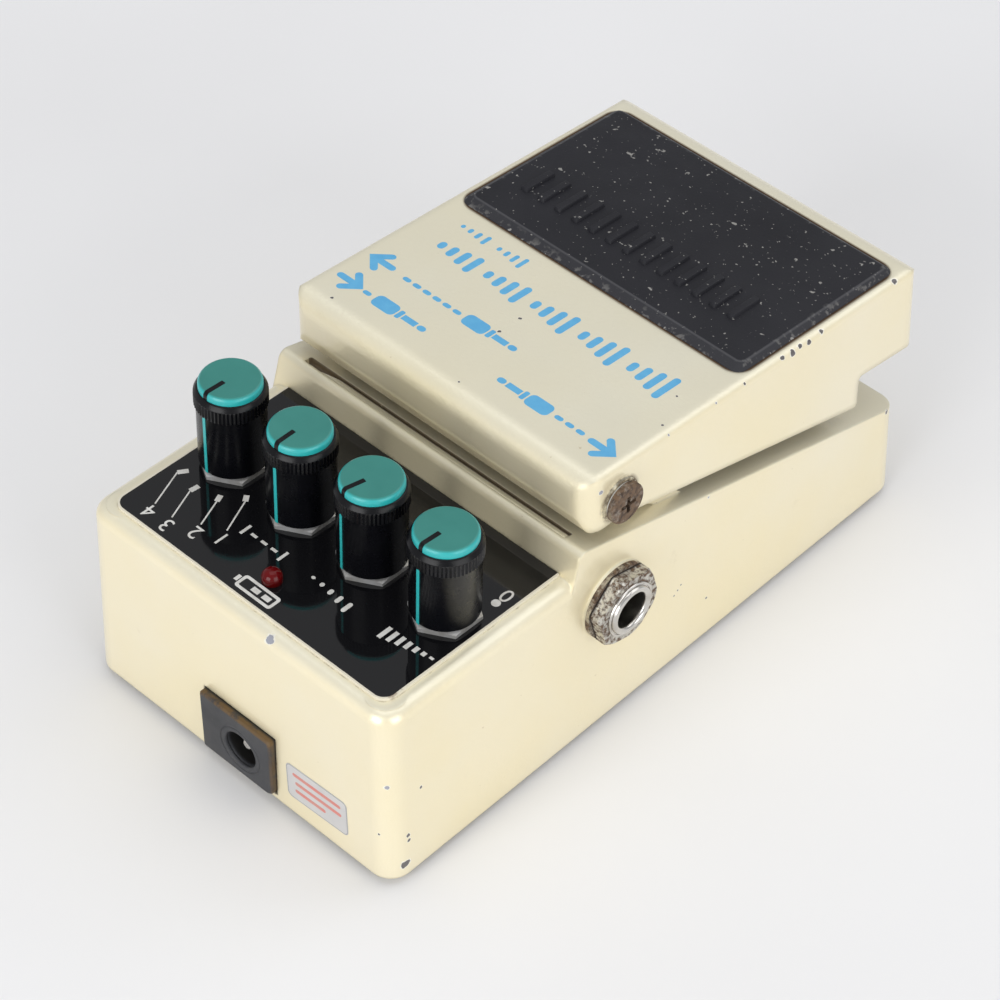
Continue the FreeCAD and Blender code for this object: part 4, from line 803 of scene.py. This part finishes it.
def makePanelPrint():
    ink = plainMaterial("whiteInk", (0.74, 0.73, 0.70), (0.60, 0.58, 0.54), 0.5, patch=700)
    centre = panelPrint["centre"]
    shapes = []
    for tick, bend, end in panelPrint["leaders"]:
        shapes.append(barBetween(tick, bend, panelPrint["tickWidth"]))
        shapes.append(barBetween(bend, end, panelPrint["lineWidth"]))
    shapes.append(disc(*panelPrint["dot"]))
    shapes += panelSigns()
    shapes = [[(x, y - centre) for x, y in points] for points in shapes]
    marks = flatPiece("panelMarks", shapes, panelPrint["thickness"],
                      onSlope("panel", 0, centre, panelPrint["lift"]))
    finishPiece(marks, "housing", ink)
    digits = makeDigits("panelDigits", panelPrint["digits"], panelPrint["digitSize"], panelPrint["thickness"])
    finishPiece(digits, "housing", ink)


treadlePrint = {
    "lift": 0.008,
    "thickness": 0.03,
    "arrows": [(-28.5, 8.0, 0), (28.0, 7.8, 0), (28.1, 0.3, 180)],
    "arrowLength": 5.9,
    "arrowSpread": 6.3,
    "arrowStroke": 1.35,
    "plugs": [(-12.1, 7.8, 3, 180), (17.0, 8.0, 1, 0), (3.6, 0.6, 6, 0)],
    "echoes": {"start": -25.6, "row": -10.4, "groups": 5, "groupPitch": 10.75, "groupFade": 0.92,
               "bars": 4, "barPitch": 2.4, "fades": (1, 0.78, 0.56, 0.36), "height": 6.3, "width": 1.35},
    "smallEchoes": {"start": 12.2, "row": -16.8, "groups": 2, "groupPitch": 8.4, "groupFade": 0.8,
                    "bars": 4, "barPitch": 1.75, "fades": (1, 0.70, 0.46, 0.3), "height": 2.9, "width": 0.8},
}


# repeats that die away, group after group: upright rounded bars on one middle line
def echoBars(e):
    shapes = []
    for group in range(e["groups"]):
        for i in range(e["bars"]):
            height = e["height"] * e["groupFade"] ** group * e["fades"][i] + e["width"] * 0.3
            x = e["start"] + group * e["groupPitch"] + i * e["barPitch"]
            shapes.append(roundedBar(x, e["row"], max(height, e["width"] * 1.05), e["width"], 90))
    return shapes


def makeTreadlePrint():
    ink = plainMaterial("skyBlueInk", (0.095, 0.39, 0.68), (0.12, 0.44, 0.72), 0.42, patch=500, speck=0.03,
                        speckTone=(0.6, 0.55, 0.42))
    s = treadlePrint
    shapes = [arrow(x, y, s["arrowLength"], s["arrowSpread"], s["arrowStroke"], turn)
              for x, y, turn in s["arrows"]]
    for x, y, dashes, turn in s["plugs"]:
        shapes += plugMark(x, y, dashes, turn)
    shapes += echoBars(s["echoes"]) + echoBars(s["smallEchoes"])
    marks = flatPiece("treadleMarks", shapes, s["thickness"], onSlope("treadle", 0, 0, s["lift"]))
    finishPiece(marks, "treadle", ink)


sticker = {"x": -18.6, "z": 9.35, "width": 13.9, "height": 7.7, "corner": 1.0, "turn": 2.8, "border": 0.18,
           "thickness": 0.06, "inset": 0.1, "ink": 0.02, "inkLift": 0.065, "stripeWidth": 0.75,
           "stripes": [(0.0, 1.9, 11.0), (0.3, 0.1, 10.6), (-1.6, -1.7, 7.0)]}


def roundedRectangle(width, height, corner, count=5):
    points = []
    for quarter, (sx, sy) in enumerate(((1, 1), (-1, 1), (-1, -1), (1, -1))):
        for i in range(count + 1):
            t = math.radians(90 * quarter + 90 * i / count)
            points.append((sx * (width / 2 - corner) + corner * math.cos(t),
                           sy * (height / 2 - corner) + corner * math.sin(t)))
    return points


def makeSticker():
    foil = plainMaterial("silverLabel", (0.60, 0.59, 0.585), (0.55, 0.54, 0.535), 0.45, 0.2, patch=160,
                         speck=0.03, speckTone=(0.42, 0.39, 0.34))
    red = plainMaterial("paleRedInk", (0.62, 0.20, 0.17), (0.55, 0.26, 0.22), 0.5, patch=500)
    grey = plainMaterial("labelRimGrey", (0.36, 0.36, 0.37), (0.30, 0.30, 0.31), 0.5, patch=500)
    s = sticker
    label = flatPiece("plainLabel", [roundedRectangle(s["width"], s["height"], s["corner"])], s["thickness"],
                      onRearFace(s["x"], s["z"], s["thickness"] / 2, s["turn"]))
    finishPiece(label, "housing", foil)
    width, height = s["width"] - s["inset"], s["height"] - s["inset"]
    outer = roundedRectangle(width, height, s["corner"])
    inner = roundedRectangle(width - 2 * s["border"], height - 2 * s["border"], s["corner"] * 0.85)
    above = onRearFace(s["x"], s["z"], s["inkLift"], s["turn"])
    finishPiece(flatPiece("labelBorder", [outer, inner], s["ink"], above), "housing", grey)
    stripes = [roundedBar(x, y, length, s["stripeWidth"]) for x, y, length in s["stripes"]]
    finishPiece(flatPiece("labelStripes", stripes, s["ink"], above), "housing", red)


makePanelPrint()
makeTreadlePrint()
makeSticker()
print("print and label laid on")


def editPiece(piece, way="FACE"):
    takeUp(piece)
    bpy.ops.object.mode_set(mode="EDIT")
    bpy.ops.mesh.select_mode(type=way)
    bpy.ops.mesh.select_all(action="DESELECT")


def chooseFaces(piece, test):
    bpy.ops.mesh.select_mode(type="FACE")
    grid = bmesh.from_edit_mesh(piece.data)
    for face in grid.faces:
        face.select_set(bool(test(face.calc_center_median(), face.normal)))
    grid.select_flush_mode()
    bmesh.update_edit_mesh(piece.data)


def chooseVertices(piece, test):
    bpy.ops.mesh.select_mode(type="VERT")
    grid = bmesh.from_edit_mesh(piece.data)
    for vertex in grid.verts:
        vertex.select_set(bool(test(vertex.co)))
    grid.select_flush_mode()
    bmesh.update_edit_mesh(piece.data)


def chooseEdges(piece, test):
    bpy.ops.mesh.select_mode(type="EDGE")
    grid = bmesh.from_edit_mesh(piece.data)
    for edge in grid.edges:
        a, b = edge.verts[0].co, edge.verts[1].co
        edge.select_set(bool(test((a + b) / 2, b - a)))
    bmesh.update_edit_mesh(piece.data)


# a turned shape round Z: a ring of edges drawn along a profile of (radius, height); a profile that doesn't
# come back to its start is closed with a face at each end
def turnPiece(name, profile, sides):
    radius, height = profile[0]
    bpy.ops.mesh.primitive_circle_add(vertices=sides, radius=radius * mm, location=(0, 0, height * mm))
    piece = bpy.context.object
    piece.name = name
    bpy.ops.object.transform_apply()
    editPiece(piece, "EDGE")
    bpy.ops.mesh.select_all(action="SELECT")
    if profile[0] != profile[-1]:
        bpy.ops.mesh.edge_face_add()
    for nextRadius, nextHeight in profile[1:]:
        bpy.ops.mesh.select_mode(type="EDGE")
        bpy.ops.mesh.extrude_edges_move(TRANSFORM_OT_translate={"value": (0, 0, (nextHeight - height) * mm)})
        grow = nextRadius / radius
        bpy.ops.transform.resize(value=(grow, grow, 1), center_override=(0, 0, nextHeight * mm))
        radius, height = nextRadius, nextHeight
    if profile[0] != profile[-1]:
        bpy.ops.mesh.edge_face_add()
    bpy.ops.mesh.select_all(action="SELECT")
    bpy.ops.mesh.remove_doubles(threshold=0.000001)
    leaveEdit()
    return piece


# knobs: a turned body, a knurled ring, the cap's pointer
knob = {
    "row": 38.99,
    "places": (("mode", 24.09, -2.3), ("time", 8.03, 0.9), ("feedback", -8.03, -12.7),
               ("level", -24.09, -3.4)),
    "foot": 38.739,
    "profile": [(4.4, 5.3), (4.4, 1.3), (5.55, 1.3), (5.72, 1.38), (5.78, 1.55), (5.78, 13.3), (5.86, 13.46),
                (5.86, 15.95), (6.04, 15.98), (6.06, 16.05), (5.62, 16.78), (5.5, 16.88), (5.3, 16.9)],
    "sides": 96,
    "ringLow": 13.46,
    "ringTop": 16.0,
    "ringRadius": 6.1,
    "grooveRadius": 5.95,
    "ribs": 58,
    "ringWall": 0.42,
    "ribRound": 0.12,
}


def modelKnurl():
    k = knob
    sides = k["ribs"] * 2
    middle = (0, 0, (k["ringLow"] + k["ringTop"]) / 2 * mm)
    bpy.ops.mesh.primitive_cylinder_add(vertices=sides, radius=k["ringRadius"] * mm,
                                        depth=(k["ringTop"] - k["ringLow"]) * mm, location=middle)
    piece = bpy.context.object
    piece.name = "knurlModel"
    bpy.ops.object.transform_apply()
    editPiece(piece)
    chooseFaces(piece, lambda c, n: abs(n.z) > 0.9)
    bpy.ops.mesh.inset(thickness=k["ringWall"] * mm)
    chooseFaces(piece, lambda c, n: abs(n.z) > 0.9 and c.xy.length < 0.1 * mm)
    bpy.ops.mesh.delete(type="FACE")
    chooseEdges(piece, lambda c, d: c.xy.length < (k["ringRadius"] - 0.3) * mm and abs(d.z) < 1e-7)
    bpy.ops.mesh.bridge_edge_loops()

    # every second upright edge is drawn in, which leaves the ribs
    def inGroove(co):
        turn = round(math.atan2(co.y, co.x) / (2 * math.pi) * sides)
        return turn % 2 == 0 and co.xy.length > (k["ringRadius"] - 0.1) * mm

    chooseVertices(piece, inGroove)
    shrink = k["grooveRadius"] / k["ringRadius"]
    bpy.ops.transform.resize(value=(shrink, shrink, 1), center_override=middle)
    # the ribs' ends are rounded over at the top and bottom
    for level in (k["ringTop"], k["ringLow"]):
        chooseEdges(piece, lambda c, d: abs(c.z - level * mm) < 1e-6 and abs(d.z) < 1e-7
                    and c.xy.length > (k["grooveRadius"] - 0.03) * mm)
        bpy.ops.mesh.bevel(offset=k["ribRound"] * mm, segments=2)
    leaveEdit()
    return piece


# the pointer's side outline, (distance from the axis, height): along the cap's flat and down over its rim
pointer = {
    "width": 0.86,
    "outline": [(1.35, 18.18), (1.35, 18.32), (4.74, 18.32), (5.08, 18.13), (5.26, 17.85), (5.34, 17.4),
                (5.34, 16.95), (4.95, 16.95), (4.95, 17.8), (4.7, 18.18)],
}


def modelPointer():
    upright = Matrix.Rotation(math.pi / 2, 4, "Z") @ Matrix.Rotation(math.pi / 2, 4, "X")
    return flatPiece("pointerModel", [pointer["outline"]], pointer["width"], upright)


def copyPiece(model, name, place):
    copy = model.copy()
    copy.data = model.data.copy()
    copy.name = name
    copy.data.name = name
    scene.collection.objects.link(copy)
    copy.data.transform(place)
    return copy


def placeCopy(model, name, x, turn):
    lean = Matrix.Rotation(math.atan(slopes["panel"]["rise"]), 4, "X")
    foot = Matrix.Translation(Vector((x, knob["row"], knob["foot"])) * mm)
    return copyPiece(model, name, foot @ lean @ Matrix.Rotation(math.radians(turn), 4, "Z"))


def smooth(piece, angle):
    takeUp(piece)
    bpy.ops.object.shade_smooth_by_angle(angle=math.radians(angle))


def makeKnobs():
    parts = {"Body": turnPiece("knobModel", knob["profile"], knob["sides"]), "Ring": modelKnurl(),
             "Pointer": modelPointer()}
    for part, model in parts.items():
        smooth(model, 20 if part == "Ring" else 35)
    for control, x, turn in knob["places"]:
        for part, model in parts.items():
            piece = placeCopy(model, control + "Knob" + part, x, turn)
            finishPiece(piece, control + "_knob", finishes["time_knob"])
            if part == "Body":
                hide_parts(control + "_knob")
    for model in parts.values():
        bpy.data.objects.remove(model)


makeKnobs()
print("knobs turned and knurled")

# the foot pad: a block with sloped sides round a raised field, and a row of plain grip ribs
footPad = {
    "halfWidth": 31.4, "length": 40.6, "centre": -41.67, "corner": 1.9,
    "low": -1.15, "shoulder": 0.05, "top": 0.95, "sideSlope": 1.1, "rearSlope": 2.0, "rim": 0.25,
    "ribs": 13, "ribPitch": 3.87, "ribStart": -21.3, "ribRow": 7.45, "rib": (1.7, 7.3), "ribTop": 1.6,
    "ribRim": 0.22, "ribFoot": 0.2, "ribTaper": (0.78, 0.95, 1),
}


def sizedBox(name, x, y, low, high, width, depth):
    bpy.ops.mesh.primitive_cube_add(size=1, location=(x * mm, y * mm, (low + high) / 2 * mm))
    piece = bpy.context.object
    piece.name = name
    piece.scale = (width * mm, depth * mm, (high - low) * mm)
    bpy.ops.object.transform_apply()
    return piece


def modelPadBlock():
    p = footPad
    piece = sizedBox("footPadTop", 0, 0, p["low"], p["shoulder"], 2 * p["halfWidth"], p["length"])
    editPiece(piece)
    chooseEdges(piece, lambda c, d: abs(d.z) > 0.9 * d.length)
    bpy.ops.mesh.bevel(offset=p["corner"] * mm, segments=6)
    chooseFaces(piece, lambda c, n: n.z > 0.9)
    bpy.ops.mesh.inset(thickness=p["sideSlope"] * mm)
    bpy.ops.transform.translate(value=(0, 0, (p["top"] - p["shoulder"]) * mm))
    field = p["length"] - 2 * p["sideSlope"]
    shrink = (field + p["sideSlope"] - p["rearSlope"]) / field
    bpy.ops.transform.resize(value=(1, shrink, 1),
                             center_override=(0, (p["sideSlope"] - p["length"] / 2) * mm, 0))
    chooseEdges(piece, lambda c, d: c.z > (p["top"] - 0.01) * mm)
    bpy.ops.mesh.bevel(offset=p["rim"] * mm, segments=2)
    leaveEdit()
    return piece


def modelPadRibs():
    p = footPad
    width, depth = p["rib"]
    piece = sizedBox("footPadRibs", p["ribStart"], p["ribRow"], p["top"] - p["ribFoot"], p["ribTop"], width,
                     depth)
    editPiece(piece)
    chooseFaces(piece, lambda c, n: n.z > 0.9)
    bpy.ops.transform.resize(value=p["ribTaper"], center_override=(p["ribStart"] * mm, p["ribRow"] * mm, 0))
    chooseEdges(piece, lambda c, d: c.z > p["top"] * mm)
    bpy.ops.mesh.bevel(offset=p["ribRim"] * mm, segments=2)
    leaveEdit()
    row = piece.modifiers.new("ribRow", "ARRAY")
    row.count = p["ribs"]
    row.use_relative_offset = False
    row.use_constant_offset = True
    row.constant_offset_displace = (p["ribPitch"] * mm, 0, 0)
    bpy.ops.object.modifier_apply(modifier=row.name)
    return piece


def makeFootPad():
    rubber = finishes["foot_pad"]
    seat = onSlope("treadle", 0, footPad["centre"], 0)
    block, ribs = modelPadBlock(), modelPadRibs()
    for piece in (block, ribs):
        piece.data.transform(seat)
        smooth(piece, 30)
        finishPiece(piece, "treadle", rubber)
    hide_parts("foot_pad")


makeFootPad()
print("foot pad moulded")

# jack sleeves: a threaded tube with a groove round a rounded mouth
sleeve = {
    "profile": [(4.6, 30.4), (4.6, 38.02), (5.1, 38.02), (5.14, 38.12), (5.08, 38.32), (4.94, 38.4),
                (4.74, 38.34), (4.68, 38.22), (4.58, 38.22), (4.54, 38.5), (4.4, 38.76), (4.1, 38.89),
                (3.72, 38.84), (3.46, 38.66), (3.34, 38.4), (3.3, 38.0), (3.3, 30.4), (4.6, 30.4)],
    "sides": 72,
    "height": 27.9,
    "places": (("output", -1, 10.99), ("input", 1, 10.99), ("direct", 1, -4.51)),
}


def makeSleeves():
    model = turnPiece("sleeveModel", sleeve["profile"], sleeve["sides"])
    smooth(model, 32)
    for jack, side, y in sleeve["places"]:
        place = Matrix.Translation(Vector((0, y, sleeve["height"])) * mm)
        copy = copyPiece(model, jack + "JackMouth", place @ Matrix.Rotation(math.pi / 2 * side, 4, "Y"))
        finishPiece(copy, "housing", finishes[jack + "_jack_sleeve"])
        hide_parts(jack + "_jack_sleeve")
    bpy.data.objects.remove(model)


makeSleeves()
print("jack mouths turned")

# the gutter behind the treadle is narrow over most of its length, so a strip fills its rear half
gutterStrip = {"middle": 16.97, "outline": [(-29.45, -0.55), (21.5, -0.55), (25.5, 0.56), (-29.45, 0.56)],
               "depth": 1.1}


def makeGutterStrip():
    g = gutterStrip
    strip = flatPiece("gutterStrip", [g["outline"]], g["depth"],
                      onSlope("deck", 0, g["middle"], -g["depth"] / 2 - 0.01))
    finishPiece(strip, "housing", finishes["housing"])


makeGutterStrip()
print("gutter narrowed")

# a ring closes the step in front of the power socket's hole
socketRing = {
    "profile": [(4.6, 63.76), (4.6, 64.235), (3.75, 64.235), (3.55, 64.18), (3.48, 64.0), (3.48, 63.76),
                (4.6, 63.76)],
    "sides": 64, "x": -1.9, "z": 8.76,
}


def makeSocketRing():
    ring = turnPiece("socketMouth", socketRing["profile"], socketRing["sides"])
    place = Matrix.Translation(Vector((socketRing["x"], 0, socketRing["z"])) * mm)
    ring.data.transform(place @ Matrix.Rotation(-math.pi / 2, 4, "X"))
    smooth(ring, 40)
    finishPiece(ring, "housing", finishes["power_socket"])


makeSocketRing()
print("power socket's mouth closed")
